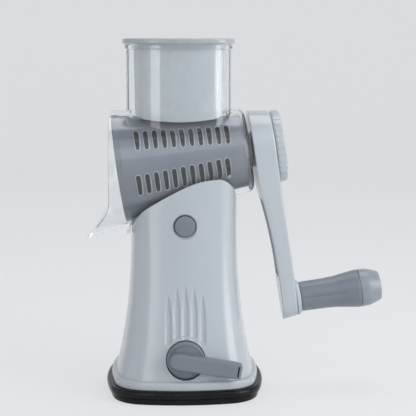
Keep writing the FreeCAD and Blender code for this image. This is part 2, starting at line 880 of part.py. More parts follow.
def make_end_cap():
    """Closed end of the drum: disc, sleeve, ribs, and a hub with a square socket and a slot."""
    owner = body("drum_end_cap")
    back, hub = "dims.drum_back", "dims.hub_radius"
    face = f"({back} + dims.cap_thick)"
    inside = f"dims.drum_sheet + {FIT}"
    sleeve_start = f"({back} - dims.sleeve_length)"
    sleeve_inner = f"({drum_at(back, inside)} - dims.sleeve_wall)"
    revolve(
        owner,
        "cap_disc",
        [
            ("0", "dims.hub_front"),
            (hub, "dims.hub_front"),
            (hub, back),
            (sleeve_inner, back),
            (sleeve_inner, sleeve_start),
            (drum_at(sleeve_start, inside), sleeve_start),
            (drum_at(back, inside), back),
            (drum_at(back), back),
            (drum_at(back), face),
            ("0", face),
        ],
    )
    rib = sketch_on(owner, "rib_side")
    draw_outline(
        rib,
        [
            (f"{hub} - 0.5", f"{back} - dims.rib_depth"),
            (f"{sleeve_inner} + 0.4", f"{back} - 2"),
            (f"{sleeve_inner} + 0.4", f"{back} + 0.4"),
            (f"{hub} - 0.5", f"{back} + 0.4"),
        ],
    )
    rib_pad = pad(owner, "rib", rib, "dims.rib_thick", both_ways=True)
    polar_pattern(owner, "ribs", rib_pad, "Z_Axis", "dims.rib_count")
    key_half = "((dims.key_width + 2 * dims.key_fit) / 2)"
    socket = sketch_on(owner, "socket_square", "XY_Plane", face)
    draw_outline(socket, rectangle(f"-{key_half}", key_half, f"-{key_half}", key_half))
    depth = f"{face} - dims.hub_front - dims.hub_floor"
    pocket(owner, "socket", socket, depth)
    slot = sketch_on(owner, "bolt_slot", "XY_Plane", face)
    half_long = "(dims.bolt_bar_length / 2 + 0.4)"
    half_wide = "(dims.bolt_bar_width / 2 + 0.4)"
    draw_outline(
        slot, rectangle(f"-{half_wide}", half_wide, f"-{half_long}", half_long)
    )
    pocket(owner, "slot", slot, f"{face} - dims.hub_front + 2")
    return drum_frame(owner)


# ---------------------------------------------------------------- drive, crank arm, knob
def make_drive_shaft():
    """Journal with a square key at each end and a bore for the lock bolt."""
    key, arm_key = "dims.key_width / 2", "dims.arm_key_width / 2"
    shoulder = "(dims.drum_back + dims.cap_thick)"
    drum_key = box("drum_key", (f"-{key}", key), (f"-{key}", key), ("dims.key_front", shoulder))
    journal = cylinder(
        "journal", "dims.journal_radius", f"dims.arm_inner - {shoulder}", z=shoulder
    )
    crank_key = box(
        "crank_key",
        (f"-{arm_key}", arm_key),
        (f"-{arm_key}", arm_key),
        ("dims.arm_inner", "dims.arm_inner + dims.arm_key_depth"),
    )
    bore = cylinder("bolt_bore", "dims.bolt_radius + dims.bolt_gap", "60", z="dims.hub_front - 8")
    return drum_frame(
        cut("drive_shaft", fuse("shaft_solid", drum_key, journal, crank_key), bore)
    )


def on_outer_rim(edge):
    """A test for edges along the rim of the arm's outer face: flat, sloping, flat."""
    start, end = dim("arm_hub_radius") + 2, dim("crank_radius") - 20
    low, high = dim("hub_outer"), dim("arm_outer")

    def rim(x):
        share = min(1.0, max(0.0, (x - start) / (end - start)))
        return low + (high - low) * share

    across = edge.BoundBox.XLength < 1e-6
    return not across and all(abs(v.Z - rim(v.X)) < 1e-3 for v in edge.Vertexes)


def make_crank_arm():
    """Tapered arm: round hub, leaning web, round end, with a rimmed recess on its inner side."""
    owner = body("arm_blank")
    hub, end, far = "dims.arm_hub_radius", "dims.arm_end_radius", "dims.crank_radius"
    inner, thick = "dims.arm_inner", "(dims.arm_outer - dims.arm_inner)"
    lean = f"asin(({hub} - {end}) / {far})"
    hub_x, hub_y = f"{hub} * sin({lean})", f"{hub} * cos({lean})"
    end_x, end_y = f"({far} + {end} * sin({lean}))", f"{end} * cos({lean})"
    outline = sketch_on(owner, "arm_outline", "XY_Plane", inner)
    draw_outline(
        outline,
        [
            (hub_x, f"-{hub_y}"),
            (end_x, f"-{end_y}", end),
            (f"{far} + {end}", "0", end),
            (end_x, end_y),
            (hub_x, hub_y, hub),
            (f"-{hub}", "0", hub),
        ],
    )
    pad(owner, "arm_pad", outline, thick, taper="-dims.arm_draft")
    slope = sketch_on(owner, "arm_outer_side")
    slope_start, slope_end = f"({hub} + 2)", f"({far} - 20)"
    outer, hub_face = "dims.arm_outer", "dims.hub_outer"
    half_run, half_rise = f"(({slope_end} - {slope_start}) / 2)", f"(({outer} - {hub_face}) / 2)"
    bend = f"(({half_run} ^ 2 + {half_rise} ^ 2) / (2 * {half_rise}))"
    draw_outline(
        slope,
        [
            (f"-{hub} - 10", hub_face),
            (slope_start, hub_face, bend),
            (f"{slope_start} + {half_run}", f"{hub_face} + {half_rise}", f"-{bend}"),
            (slope_end, outer),
            (slope_end, f"{outer} + 5"),
            (f"-{hub} - 10", f"{outer} + 5"),
        ],
    )
    sloped = pocket(owner, "arm_slope", slope, "120", both_ways=True)
    DOC.recompute()
    round_edges(owner, "arm_round", sloped, on_outer_rim, "dims.arm_edge")

    hollow = sketch_on(owner, "arm_side")
    waist = "dims.arm_waist"
    draw_outline(
        hollow,
        [
            ("dims.arm_bend", inner),
            ("dims.arm_slope_end - 14", f"{waist} - 1.1", "-250"),
            ("dims.arm_slope_end + 14", waist),
            (f"{far} + 30", waist),
            (f"{far} + 30", f"{inner} - 5"),
            ("dims.arm_bend", f"{inner} - 5"),
        ],
    )
    pocket(owner, "arm_lean", hollow, "120", both_ways=True)
    key = "((dims.arm_key_width + 2 * dims.key_fit) / 2)"
    socket = sketch_on(owner, "arm_socket_square", "XY_Plane", inner)
    draw_outline(socket, rectangle(f"-{key}", key, f"-{key}", key))
    pocket(owner, "arm_socket", socket, "dims.arm_key_depth + 0.1", reverse=True)
    bore = sketch_on(owner, "arm_bolt_circle", "XY_Plane", inner)
    draw_circle(bore, "0", "0", "dims.bolt_radius + dims.bolt_gap")
    pocket(owner, "arm_bolt_hole", bore, "40", reverse=True)
    recess = sketch_on(owner, "arm_recess_outline", "XY_Plane", "dims.arm_outer - dims.arm_web")
    rim = "dims.arm_rim + 1.4"
    recess_start, recess_hub = f"({hub} + 8.8)", f"({hub} * 0.72 - {rim})"
    draw_outline(
        recess,
        [
            (recess_start, f"-{recess_hub}"),
            (f"{far} - 20", f"-({end} - {rim})"),
            (f"{far} - 20", f"({end} - {rim})"),
            (recess_start, recess_hub),
        ],
    )
    pocket(owner, "arm_recess", recess, "30")
    spindle_hole = sketch_on(owner, "spindle_circle", "XY_Plane", "dims.spindle_seat")
    draw_circle(spindle_hole, far, "0", "dims.spindle_radius")
    pocket(owner, "spindle_hole", spindle_hole, "20", reverse=True)
    return drum_frame(owner)


def make_lock_knob():
    """Fluted knob on the outside of the crank's hub."""
    owner = body("lock_knob")
    start = "(dims.hub_outer + dims.knob_gap)"
    end = f"({start} + dims.knob_thick)"
    radius, edge = "dims.knob_radius", "dims.knob_edge"
    outer = f"({radius} - dims.knob_thick * {TAPER})"
    dish, floor = "dims.dish_radius", f"({end} - dims.dish_depth)"
    bore, bore_end = "dims.bolt_radius", f"({start} + dims.knob_thick * 0.6)"
    revolve(
        owner,
        "knob_disc",
        [
            (bore, start),
            (f"{radius} - {edge}", start),
            (radius, f"{start} + {edge}"),
            (outer, f"{end} - 1.2", "1.2"),
            (f"{outer} - 1.2", end),
            (f"{dish} + 1", end),
            (dish, floor),
            ("0", floor),
            ("0", bore_end),
            (bore, bore_end),
        ],
    )
    flute = sketch_on(owner, "flute_circle", "XY_Plane", start)
    draw_circle(flute, f"{radius} + dims.flute_radius - dims.flute_depth", "0", "dims.flute_radius")
    flute_cut = pocket(owner, "flute", flute, "dims.knob_thick - 1.6", reverse=True)
    polar_pattern(owner, "flutes", flute_cut, "Z_Axis", "dims.knob_flutes")
    return drum_frame(owner)


def make_lock_bolt():
    """Bolt with a cross bar that turns behind the slot in the drum's hub."""
    bar_back = "(dims.hub_front - 0.4)"
    half_long, half_wide = "dims.bolt_bar_length / 2", "dims.bolt_bar_width / 2"
    bar = box(
        "bolt_bar",
        (f"-{half_long}", half_long),
        (f"-{half_wide}", half_wide),
        (f"{bar_back} - dims.bolt_bar_thick", bar_back),
    )
    tip = f"(dims.hub_outer + dims.knob_gap + dims.knob_thick * 0.6)"
    rod = cylinder("bolt_rod", "dims.bolt_radius", f"{tip} - {bar_back} + 1", z=f"{bar_back} - 1")
    return drum_frame(fuse("lock_bolt", rod, bar))


# ---------------------------------------------------------------- grip
def on_crank_pin(obj):
    """Places a sub-part drawn about its own Z on the crank's far end."""
    tilt = math.radians(dim("axis_tilt"))
    turn(obj, Vector(0, 1, 0), 90 - dim("axis_tilt"))
    far = dim("crank_radius")
    obj.Placement.Base = Vector(far * math.sin(tilt), 0, dim("axis_height") - far * math.cos(tilt))
    return obj


GRIP_END = "(dims.grip_start + dims.grip_length)"


def make_grip_washer():
    owner = body("grip_washer")
    start, radius = "(dims.arm_outer + 0.1)", "dims.washer_radius"
    half = f"({start} + dims.washer_thick / 2)"
    end = f"({start} + dims.washer_thick)"
    bore = "dims.spindle_radius"
    revolve(
        owner,
        "washer_step",
        [
            (bore, start),
            (f"{radius} - 0.4", start),
            (radius, f"{start} + 0.4"),
            (radius, half),
            (f"{radius} - 1", half),
            (f"{radius} - 1", end),
            (bore, end),
        ],
    )
    return on_crank_pin(owner)


def make_grip_spindle():
    owner = body("grip_spindle")
    radius, end = "dims.spindle_radius", f"({GRIP_END} + 0.3)"
    revolve(
        owner,
        "spindle",
        [
            ("dims.screw_shank_radius", f"{end} - 12"),
            ("dims.screw_shank_radius", end),
            (radius, end),
            (radius, "dims.spindle_seat"),
            ("0", "dims.spindle_seat"),
            ("0", f"{end} - 12"),
        ],
    )
    return on_crank_pin(owner)


def make_grip():
    """Turning grip: slim by the arm, swelling to a belly, with shallow grooves along it."""
    owner = body("handle_grip")
    start, end = "dims.grip_start", GRIP_END
    bore = "(dims.spindle_radius + dims.running_gap)"
    neck, waist, belly = (
        "dims.grip_neck_radius",
        "dims.grip_waist_radius",
        "dims.grip_belly_radius",
    )
    revolve(
        owner,
        "grip_turned",
        [
            (bore, start),
            (f"{neck} - 0.6", start),
            (neck, f"{start} + 0.6"),
            (waist, f"{start} + dims.grip_length * 0.46", "-60"),
            (f"{belly} - 0.7", f"{end} - 7", "26"),
            (belly, end),
            (bore, end),
        ],
    )
    groove = sketch_on(owner, "groove_section", "XY_Plane", f"{start} + 3")
    reach = f"({waist} + 1)"
    half = "dims.groove_width / 2"
    depth = f"({waist} - dims.groove_depth)"
    far, wide = f"{reach} + 4", f"{half} * 4"
    draw_outline(groove, [(depth, "0"), (far, f"-{wide}"), (far, wide)])
    groove_cut = pocket(owner, "groove", groove, "dims.grip_length * 0.72", reverse=True)
    polar_pattern(owner, "grooves", groove_cut, "Z_Axis", "dims.grip_grooves")
    return on_crank_pin(owner)


def make_grip_cap():
    owner = body("grip_end_cap")
    start = GRIP_END
    end = f"({start} + dims.cap_length)"
    seam, seat = f"({start} + dims.cap_seam)", "(dims.grip_belly_radius - 0.9)"
    belly, face = "dims.grip_belly_radius", "dims.cap_face_radius"
    cavity = "(dims.screw_head_radius + 1.2)"
    revolve(
        owner,
        "cap_dome",
        [
            (cavity, start),
            (seat, start),
            (seat, seam),
            (belly, seam),
            (f"{belly} - 0.4", f"{start} + 6", "30"),
            (f"{face} + 1.2", f"{end} - 1.5", "1.9"),
            (face, end),
            ("0", end),
            ("0", f"{start} + 6"),
            (cavity, f"{start} + 6"),
        ],
    )
    return on_crank_pin(owner)


def make_grip_screw():
    owner = body("grip_screw")
    seat = f"({GRIP_END} + 0.3)"
    head, shank = "dims.screw_head_radius", "dims.screw_shank_radius"
    top = f"({seat} + dims.screw_head_thick)"
    revolve(
        owner,
        "screw_turned",
        [
            ("0", f"{seat} - 10"),
            (shank, f"{seat} - 10"),
            (shank, seat),
            (head, seat),
            (head, f"{top} - 1"),
            (f"{head} - 1", top),
            ("0", top),
        ],
    )
    return on_crank_pin(owner)


# ---------------------------------------------------------------- stand
def cradle_cone(name, grow):
    """The chamber's outside, grown by some amount, long enough to cut the whole stand."""
    front, back = "-95", "95"
    cone = DOC.addObject("Part::Cone", name)
    bind(
        cone,
        Radius1=f"{chamber_at(front)} + {grow}",
        Radius2=f"{chamber_at(back)} + {grow}",
        Height=f"{back} - ({front})",
    )
    move(cone, z=front)
    return along_axis(name + "_placed", cone)


def stand_flutes():
    """Recesses of even depth, round at the bottom and drawn to a point at the top."""
    outlines = body("flute_outlines")
    sketch = sketch_on(outlines, "flute_sketch", "XZ_Plane", "30")
    count = int(dim("stand_flutes"))
    half, tip = "dims.stand_flute_radius", "dims.stand_flute_tip"
    for index in range(count):
        side = index - (count - 1) / 2
        step = "dims.stand_flute_step" if abs(side) == (count - 1) / 2 else "0"
        x = f"({side} * dims.stand_flute_pitch)"
        bottom = f"(dims.stand_flute_bottom - {step})"
        top = f"({bottom} + dims.stand_flute_length - {abs(side)} * 1.2)"
        middle = f"({bottom} + dims.stand_flute_length * 0.4)"
        draw_outline(
            sketch,
            [
                (f"{x} - {half}", bottom, f"{half} * 1.03"),
                (f"{x} + {half}", bottom),
                (f"{x} + {half}", middle, "110"),
                (f"{x} + {tip}", top),
                (f"{x} - {tip}", top, "110"),
                (f"{x} - {half}", middle),
            ],
        )
    pad(outlines, "flute_prisms", sketch, "50")
    around = stand_loft("flute_zone_outside", -3.0, dim("base_bottom"))
    within = stand_loft("flute_zone_inside", dim("stand_flute_depth"), dim("base_bottom") - 1)
    return common("stand_flute_tools", outlines, cut("flute_zone", around, within))


def make_stand_shell():
    """Flared shell, closed at the top by the saddle that carries the chamber."""
    column = stand_loft("column_outside", 0.0, dim("base_bottom"))
    base = rounded_square_prism(
        "base_block",
        dim("base_half_width"),
        dim("base_half_depth"),
        dim("base_bottom"),
        dim("base_top"),
    )
    edge_top = edge_at_z(dim("base_top"))
    rim = [e for e in base.Shape.Edges if edge_top(e)]
    base.Shape = base.Shape.makeFillet(dim("base_edge"), rim)
    outside = fuse("stand_outside", column, base)

    wall = "dims.shell_wall"
    hollow_loft = stand_loft("column_inside", dim("shell_wall"), dim("base_bottom") - 1)
    saddle = cradle_cone("saddle_outside", f"dims.cradle_gap + {wall}")
    hollow = cut("stand_hollow", hollow_loft, saddle)
    skin = cut("stand_skin", outside, hollow)

    gap = "dims.foot_gap"
    foot_x, foot_y = f"(dims.foot_half_x + {gap})", f"(dims.foot_half_y + {gap})"
    wall_x, wall_y = f"({foot_x} + dims.socket_wall)", f"({foot_y} + dims.socket_wall)"
    socket = box(
        "socket_block",
        (f"-{wall_x}", wall_x),
        (f"-{wall_y}", wall_y),
        ("dims.foot_bottom - dims.socket_wall", "dims.column_top - 13"),
    )
    rails = [
        box(
            f"latch_rail_{index}",
            (low, high),
            (f"-{wall_y}", wall_y),
            ("dims.latch_z - 2.4", "dims.latch_z - 0.3"),
        )
        for index, (low, high) in enumerate(
            [(f"{wall_x} - 0.5", f"{wall_x} + 4"), (f"-{wall_x} - 4", f"-{wall_x} + 0.5")]
        )
    ]
    cup_radius = "(dims.dial_radius + dims.dial_gap)"
    cup = cylinder_y(
        "dial_cup",
        f"{cup_radius} + dims.cup_wall",
        "-60",
        "-dims.dial_back + 0.4 + dims.cup_wall",
        z="dims.lever_z",
    )
    posts = []
    for corner, (sign_x, sign_y) in enumerate([(1, 1), (-1, 1), (-1, -1), (1, -1)]):
        x, y = f"{sign_x} * dims.post_x", f"{sign_y} * dims.post_y"
        foot = "(dims.plate_bottom + dims.plate_thick)"
        posts.append(
            cylinder(f"post_{corner}", "dims.post_radius", "dims.post_height", x, y, foot)
        )
        diagonal = math.degrees(math.atan2(sign_y, sign_x))
        posts.append(feature(f"post_rib_{corner}", post_rib(diagonal, sign_x, sign_y)))
    mid_wall = stand_loft("column_mid_wall", dim("shell_wall") / 2, dim("base_bottom") - 1)
    inner_features = common(
        "stand_inner", fuse("stand_inner_blocks", socket, cup, *rails, *posts), mid_wall
    )
    joined = fuse("stand_joined", skin, inner_features)

    seat = cradle_cone("saddle_cut", "dims.cradle_gap")
    foot_cavity = box(
        "foot_cavity",
        (f"-{foot_x}", foot_x),
        (f"-{foot_y}", foot_y),
        (f"dims.foot_bottom - {gap}", "dims.axis_height + 5"),
    )
    tooth_window = box(
        "latch_window",
        ("-11.4", "11.4"),
        ("0", f"{wall_y} + 3"),
        ("dims.latch_z - 0.3", "dims.latch_z + dims.latch_height + 1.4"),
    )
    button_hole = cylinder_y(
        "button_hole", "dims.button_radius + dims.button_gap", "-60", "-25", z="dims.button_z"
    )
    button_dish = DOC.addObject("Part::Cone", "button_bevel")
    bind(
        button_dish,
        Radius1="dims.button_radius + dims.button_gap + 3",
        Radius2="dims.button_radius + dims.button_gap",
        Height="3",
    )
    turn(button_dish, Vector(1, 0, 0), -90)
    move(button_dish, y="-dims.button_face - 1.6", z="dims.button_z")
    dial_hole = cylinder_y(
        "dial_hole", cup_radius, "-70", "-dims.dial_back + 0.4", z="dims.lever_z"
    )
    shaft_hole = cylinder_y(
        "shaft_hole", "dims.shaft_radius + dims.running_gap", "-60", "-20", z="dims.lever_z"
    )
    screw_holes = [
        cylinder(f"post_hole_{n}", "dims.screw_radius", "dims.screw_length + 3", x, y, "10")
        for n, (x, y) in enumerate(screw_spots())
    ]
    return cut(
        "stand_shell",
        joined,
        seat,
        foot_cavity,
        tooth_window,
        button_hole,
        button_dish,
        dial_hole,
        shaft_hole,
        stand_flutes(),
        *screw_holes,
    )


def post_rib(diagonal, sign_x, sign_y):
    """A web from a screw post out to the shell's corner."""
    foot = dim("plate_bottom") + dim("plate_thick")
    rib = Part.makeBox(16, 2.4, dim("post_height"), Vector(0, -1.2, 0))
    rib.Placement = FreeCAD.Placement(
        Vector(sign_x * dim("post_x"), sign_y * dim("post_y"), foot),
        FreeCAD.Rotation(Vector(0, 0, 1), diagonal),
    )
    return rib


def screw_spots():
    """The four screw places, as expressions."""
    return [
        (f"{sx} * dims.post_x", f"{sy} * dims.post_y")
        for sx, sy in ((1, 1), (-1, 1), (-1, -1), (1, -1))
    ]


def make_base_plate():
    """Plate that closes the stand from below, with the cam shaft's rear bracket."""
    bottom, thick = "dims.plate_bottom", "dims.plate_thick"
    plate = rounded_square_prism(
        "plate_blank",
        dim("plate_half_width"),
        dim("plate_half_depth"),
        dim("plate_bottom"),
        dim("plate_bottom") + dim("plate_thick"),
    )
    back = "(dims.bracket_front + dims.bracket_thick)"
    bracket = box(
        "bracket_block",
        ("-10", "10"),
        ("dims.bracket_front", back),
        (f"{bottom} + {thick} - 0.5", "dims.lever_z"),
    )
    crown = cylinder_y("bracket_crown", "10", "dims.bracket_front", back, z="dims.lever_z")
    shaft_hole = cylinder_y(
        "bracket_hole", "dims.shaft_radius + dims.running_gap", "0", "30", z="dims.lever_z"
    )
    stem_hole = cylinder("stem_hole", "dims.stem_radius + 0.35", "20", z="5")
    screw_holes = [
        cylinder(f"plate_hole_{n}", "dims.screw_radius + 0.2", "20", x, y, "5")
        for n, (x, y) in enumerate(screw_spots())
    ]
    solid = fuse("plate_solid", plate, bracket, crown)
    return cut("base_plate", solid, shaft_hole, stem_hole, *screw_holes)


def make_suction_pad():
    """Rubber foot: stepped rim, collar under the base plate, thin web over a shallow dome."""
    half_x, half_y = dim("pad_half_width"), dim("pad_half_depth")
    step_z, step_in = dim("pad_step_z"), dim("pad_step_in")
    rim = rounded_square_prism("pad_rim", half_x, half_y, step_z, dim("base_bottom"))
    for height, radius in ((dim("base_bottom"), 2.2), (step_z, 1.2)):
        edges = [e for e in rim.Shape.Edges if edge_at_z(height)(e)]
        rim.Shape = rim.Shape.makeFillet(radius, edges)
    sole = rounded_square_prism(
        "pad_sole", half_x - step_in, half_y - step_in, 0.0, step_z + 1.0
    )
    sole_edges = [e for e in sole.Shape.Edges if edge_at_z(0.0)(e)]
    sole.Shape = sole.Shape.makeFillet(1.0, sole_edges)
    collar_x = dim("plate_half_width") - dim("pad_collar_inset")
    collar_y = dim("plate_half_depth") - dim("pad_collar_inset")
    wall, plate = dim("pad_collar_wall"), dim("plate_bottom")
    collar = rounded_square_prism("pad_collar", collar_x, collar_y, step_z, plate)
    well = rounded_square_prism(
        "pad_well", collar_x - wall, collar_y - wall, dim("pad_web_top"), plate + 1
    )
    dome = DOC.addObject("Part::Cone", "suction_dome")
    bind(
        dome,
        Radius1="dims.suction_radius",
        Radius2="dims.suction_radius - 6",
        Height="dims.pad_web_bottom + 0.001",
    )
    move(dome, z="-0.001")
    return cut("suction_pad", fuse("pad_solid", rim, sole, collar), well, dome)


def make_pad_insert():
    """Stiff disc bonded to the pad's web, which the stem pulls on."""
    bottom = "dims.pad_web_top + dims.insert_gap"
    disc = cylinder("insert_disc", "dims.insert_radius", "dims.insert_thick", z=bottom)
    bore = cylinder("insert_bore", "2.5", "10", z="0")
    return cut("pad_insert", disc, bore)


def make_base_screws():
    screws = []
    seat = "dims.plate_bottom"
    for n, (x, y) in enumerate(screw_spots()):
        head = cylinder(
            f"screw_head_{n}",
            "dims.base_head_radius",
            "dims.base_head_thick",
            x,
            y,
            f"{seat} - dims.base_head_thick",
        )
        shank = cylinder(f"screw_shank_{n}", "dims.screw_radius", "dims.screw_length", x, y, seat)
        screws.append(fuse(f"screw_{n}", head, shank))
    group = DOC.addObject("Part::Compound", "base_screws")
    group.Links = screws
    return group


# ---------------------------------------------------------------- release button and latch
def make_release_button():
    radius = "dims.button_radius"
    face = "-dims.button_face"
    flange_front = "-dims.button_flange_front"
    flange_back = f"({flange_front} + dims.button_flange_thick)"
    stem = cylinder_y("button_stem", radius, face, flange_back, z="dims.button_z")
    flange = cylinder_y(
        "button_flange", "dims.button_flange_radius", flange_front, flange_back, z="dims.button_z"
    )
    neck_end = "-dims.latch_front - dims.latch_bar"
    neck = cylinder_y(
        "button_neck", "dims.button_neck_radius", flange_back, neck_end, z="dims.button_z"
    )
    crown = DOC.addObject("Part::Sphere", "button_crown")
    bind(crown, Radius="dims.button_crown_radius")
    move(crown, y=f"{face} + dims.button_crown_radius - 0.6", z="dims.button_z")
    return common("release_button", fuse("button_blank", stem, flange, neck), crown)


def make_latch_frame():
    """Frame round the socket: pressed back by the button, its tooth leaves the foot's notch."""
    inner = "(dims.foot_half_x + dims.foot_gap + dims.socket_wall + 0.6)"
    outer = f"({inner} + dims.latch_bar)"
    front, back, bar = "dims.latch_front", "dims.latch_back", "dims.latch_bar"
    low = "dims.latch_z"
    high = f"({low} + dims.latch_height)"
    front_bar = box(
        "latch_front_bar", (f"-{outer}", outer), (f"-{front} - {bar}", f"-{front}"), (low, high)
    )
    tower = box(
        "latch_tower", ("-7", "7"), (f"-{front} - {bar}", f"-{front}"), (low, "dims.button_z + 6")
    )
    sides = [
        box(f"latch_side_{n}", ends, (f"-{front} - {bar}", back), (low, high))
        for n, ends in enumerate([(inner, outer), (f"-{outer}", f"-{inner}")])
    ]
    back_bar = box("latch_back_bar", (f"-{outer}", outer), (f"{back} - {bar}", back), (low, high))
    tooth = box(
        "latch_tooth",
        ("-10", "10"),
        ("dims.foot_half_y + 0.3", f"{back} - 1"),
        (f"{low} + 0.4", f"{high} - 0.6"),
    )
    return fuse("latch_frame", front_bar, tower, *sides, back_bar, tooth)


def make_button_spring():
    """Coil spring between the socket's front wall and the latch frame."""
    wall = dim("foot_half_y") + dim("foot_gap") + dim("socket_wall")
    wire = dim("spring_wire")
    length = dim("latch_front") - wall - 2 * wire - 0.1
    radius = dim("spring_radius")
    helix = Part.makeHelix(length / dim("spring_turns"), length, radius)
    circle = Part.Wire([Part.Circle(Vector(radius, 0, 0), Vector(0, 1, 0), wire).toShape()])
    coil = Part.Wire(helix).makePipeShell([circle], True, True)
    spring = feature("button_spring", coil)
    start = Vector(0, -dim("latch_front") + wire + 0.05, dim("button_z"))
    spring.Placement = FreeCAD.Placement(start, FreeCAD.Rotation(Vector(1, 0, 0), -90))
    return spring


# ---------------------------------------------------------------- suction lever, cam, stem
def lever_frame(obj):
    """Turns a sub-part drawn with its length along X to where the lever rests."""
    turn(obj, Vector(0, 1, 0), dim("lever_droop"))
    return move(obj, z="dims.lever_z")


def make_suction_lever():
    """Round dial with a bar across it."""
    dial = cylinder_y("dial_disc", "dims.dial_radius", "-dims.dial_front", "-dims.dial_back")
    neck = cylinder_y(
        "dial_neck", "dims.dial_radius - 3", "-dims.lever_back - 0.5", "-dims.dial_back"
    )
    bar = body("lever_bar")
    sketch = sketch_on(bar, "lever_outline", "XZ_Plane", "dims.lever_back")
    half = "dims.lever_width / 2"
    reach, tail = "dims.lever_reach", "-dims.lever_tail"
    draw_outline(
        sketch,
        [
            (f"{tail} + {half}", f"-{half}"),
            (f"{reach} - 1.5", f"-({half}) + 0.3", "1.5"),
            (reach, f"-({half}) + 1.8"),
            (reach, f"{half} - 1.8", "1.5"),
            (f"{reach} - 1.5", f"{half} - 0.3"),
            (f"{tail} + {half}", half, half),
            (tail, "0", half),
        ],
    )
    blank = pad(bar, "lever_pad", sketch, "dims.lever_front - dims.lever_back")
    DOC.recompute()
    front = -dim("lever_front")
    round_edges(
        bar,
        "lever_round",
        blank,
        lambda e: abs(e.BoundBox.YMax - front) < 1e-3,
        "dims.lever_edge",
    )
    key = "((dims.shaft_key + 2 * dims.key_fit) / 2)"
    sides = (f"-{key}", key)
    socket = box("lever_socket", sides, ("-dims.dial_front + 0.4", "0"), sides)
    return lever_frame(cut("suction_lever", fuse("lever_solid", dial, neck, bar), socket))


def cam_face():
    """Snail cam outline: from straight up round the right side to straight down its radius grows
    evenly, so the stem rises evenly with the lever; the rest is round."""
    low, rise = dim("cam_low"), dim("cam_rise")
    steps = 12
    ramp = []
    for step in range(steps + 1):
        share = step / steps
        angle = math.pi * (0.5 - share)
        radius = low + rise * share
        ramp.append(Vector(radius * math.cos(angle), 0, radius * math.sin(angle)))
    curve = Part.BSplineCurve()
    curve.interpolate(ramp)
    flank_angle = math.radians(-112)
    flank = Vector(low * math.cos(flank_angle), 0, low * math.sin(flank_angle))
    side = Vector(-low, 0, 0)
    edges = [
        curve.toShape(),
        Part.LineSegment(ramp[-1], flank).toShape(),
        Part.Arc(flank, middle_of_arc(flank, side, low), side).toShape(),
        Part.Arc(side, middle_of_arc(side, ramp[0], low), ramp[0]).toShape(),
    ]
    return Part.Face(Part.Wire(edges))


def middle_of_arc(start, end, radius):
    """The middle point of an arc about the origin, on the short way round."""
    return (start + end).normalize() * radius


def make_cam_shaft():
    """Shaft with a square end for the lever, a snail cam and a clip groove."""
    round_part = cylinder_y("cam_journal", "dims.shaft_radius", "-dims.dial_back", "dims.shaft_back")
    key = "dims.shaft_key / 2"
    sides = (f"-{key}", key)
    square = box("cam_key", sides, ("-dims.dial_front + 0.6", "-dims.dial_back + 1"), sides)
    half = dim("cam_half_thick")
    face = cam_face()
    face.translate(Vector(0, -half, 0))
    cam = feature("snail_cam", face.extrude(Vector(0, 2 * half, 0)))
    turn(cam, Vector(0, 1, 0), -dim("lever_droop"))
    groove_start = "(dims.bracket_front + dims.bracket_thick + 0.2)"
    groove_end = f"({groove_start} + dims.clip_thick)"
    ring = cylinder_y("clip_ring_outer", "20", groove_start, groove_end)
    core = cylinder_y("clip_ring_core", "dims.clip_groove", f"{groove_start} - 1", f"{groove_end} + 1")
    groove = cut("clip_groove_tool", ring, core)
    return lever_frame(cut("cam_shaft", fuse("cam_solid", round_part, square, cam), groove))


def make_cam_clip():
    """Spring clip in the shaft's groove, behind the bracket."""
    start = "(dims.bracket_front + dims.bracket_thick + 0.2)"
    end = f"({start} + dims.clip_thick)"
    ring = cylinder_y("clip_ring", "dims.clip_radius", start, end)
    hole = cylinder_y("clip_hole", "dims.clip_groove", "0", "40")
    mouth = box("clip_mouth", ("-3", "3"), ("0", "40"), ("-12", "0"))
    return lever_frame(cut("cam_clip", ring, hole, mouth))


def make_suction_stem():
    """Rod with a window that the cam lifts."""
    window_top = "(dims.lever_z + dims.cam_low + dims.window_gap)"
    bottom, bar = "dims.window_bottom", "dims.stem_bar"
    half_x, half_y = "dims.stem_half_width", "dims.stem_half_depth"
    frame = box(
        "stem_frame",
        (f"-{half_x}", half_x),
        (f"-{half_y}", half_y),
        (f"{bottom} - {bar}", f"{window_top} + {bar}"),
    )
    window_x = "dims.window_half_width"
    window = box("stem_window", (f"-{window_x}", window_x), ("-10", "10"), (bottom, window_top))
    insert_bottom = "(dims.pad_web_top + dims.insert_gap)"
    insert_top = f"({insert_bottom} + dims.insert_thick)"
    rod = cylinder(
        "stem_rod", "dims.stem_radius", f"{bottom} - {bar} - {insert_top} + 0.5", z=insert_top
    )
    spigot = cylinder("stem_spigot", "2.5", "dims.insert_thick", z=insert_bottom)
    return fuse("suction_stem", cut("stem_window_frame", frame, window), rod, spigot)


# ---------------------------------------------------------------- build, check, write
SUB_PARTS = {
    "hopper_body": make_hopper,
    "hub_bearing": make_hub_bearing,
    "food_pusher": make_pusher,
    "shred_drum": make_drum,
    "drum_mouth_ring": make_mouth_ring,
    "drum_end_cap": make_end_cap,
    "drive_shaft": make_drive_shaft,
    "crank_arm": make_crank_arm,
    "lock_knob": make_lock_knob,
    "lock_bolt": make_lock_bolt,
    "grip_washer": make_grip_washer,
    "grip_spindle": make_grip_spindle,
    "handle_grip": make_grip,
    "grip_end_cap": make_grip_cap,
    "grip_screw": make_grip_screw,
    "stand_shell": make_stand_shell,
    "base_plate": make_base_plate,
    "suction_pad": make_suction_pad,
    "pad_insert": make_pad_insert,
    "base_screws": make_base_screws,
    "release_button": make_release_button,
    "latch_frame": make_latch_frame,
    "button_spring": make_button_spring,
    "suction_lever": make_suction_lever,
    "cam_shaft": make_cam_shaft,
    "cam_clip": make_cam_clip,
    "suction_stem": make_suction_stem,
}


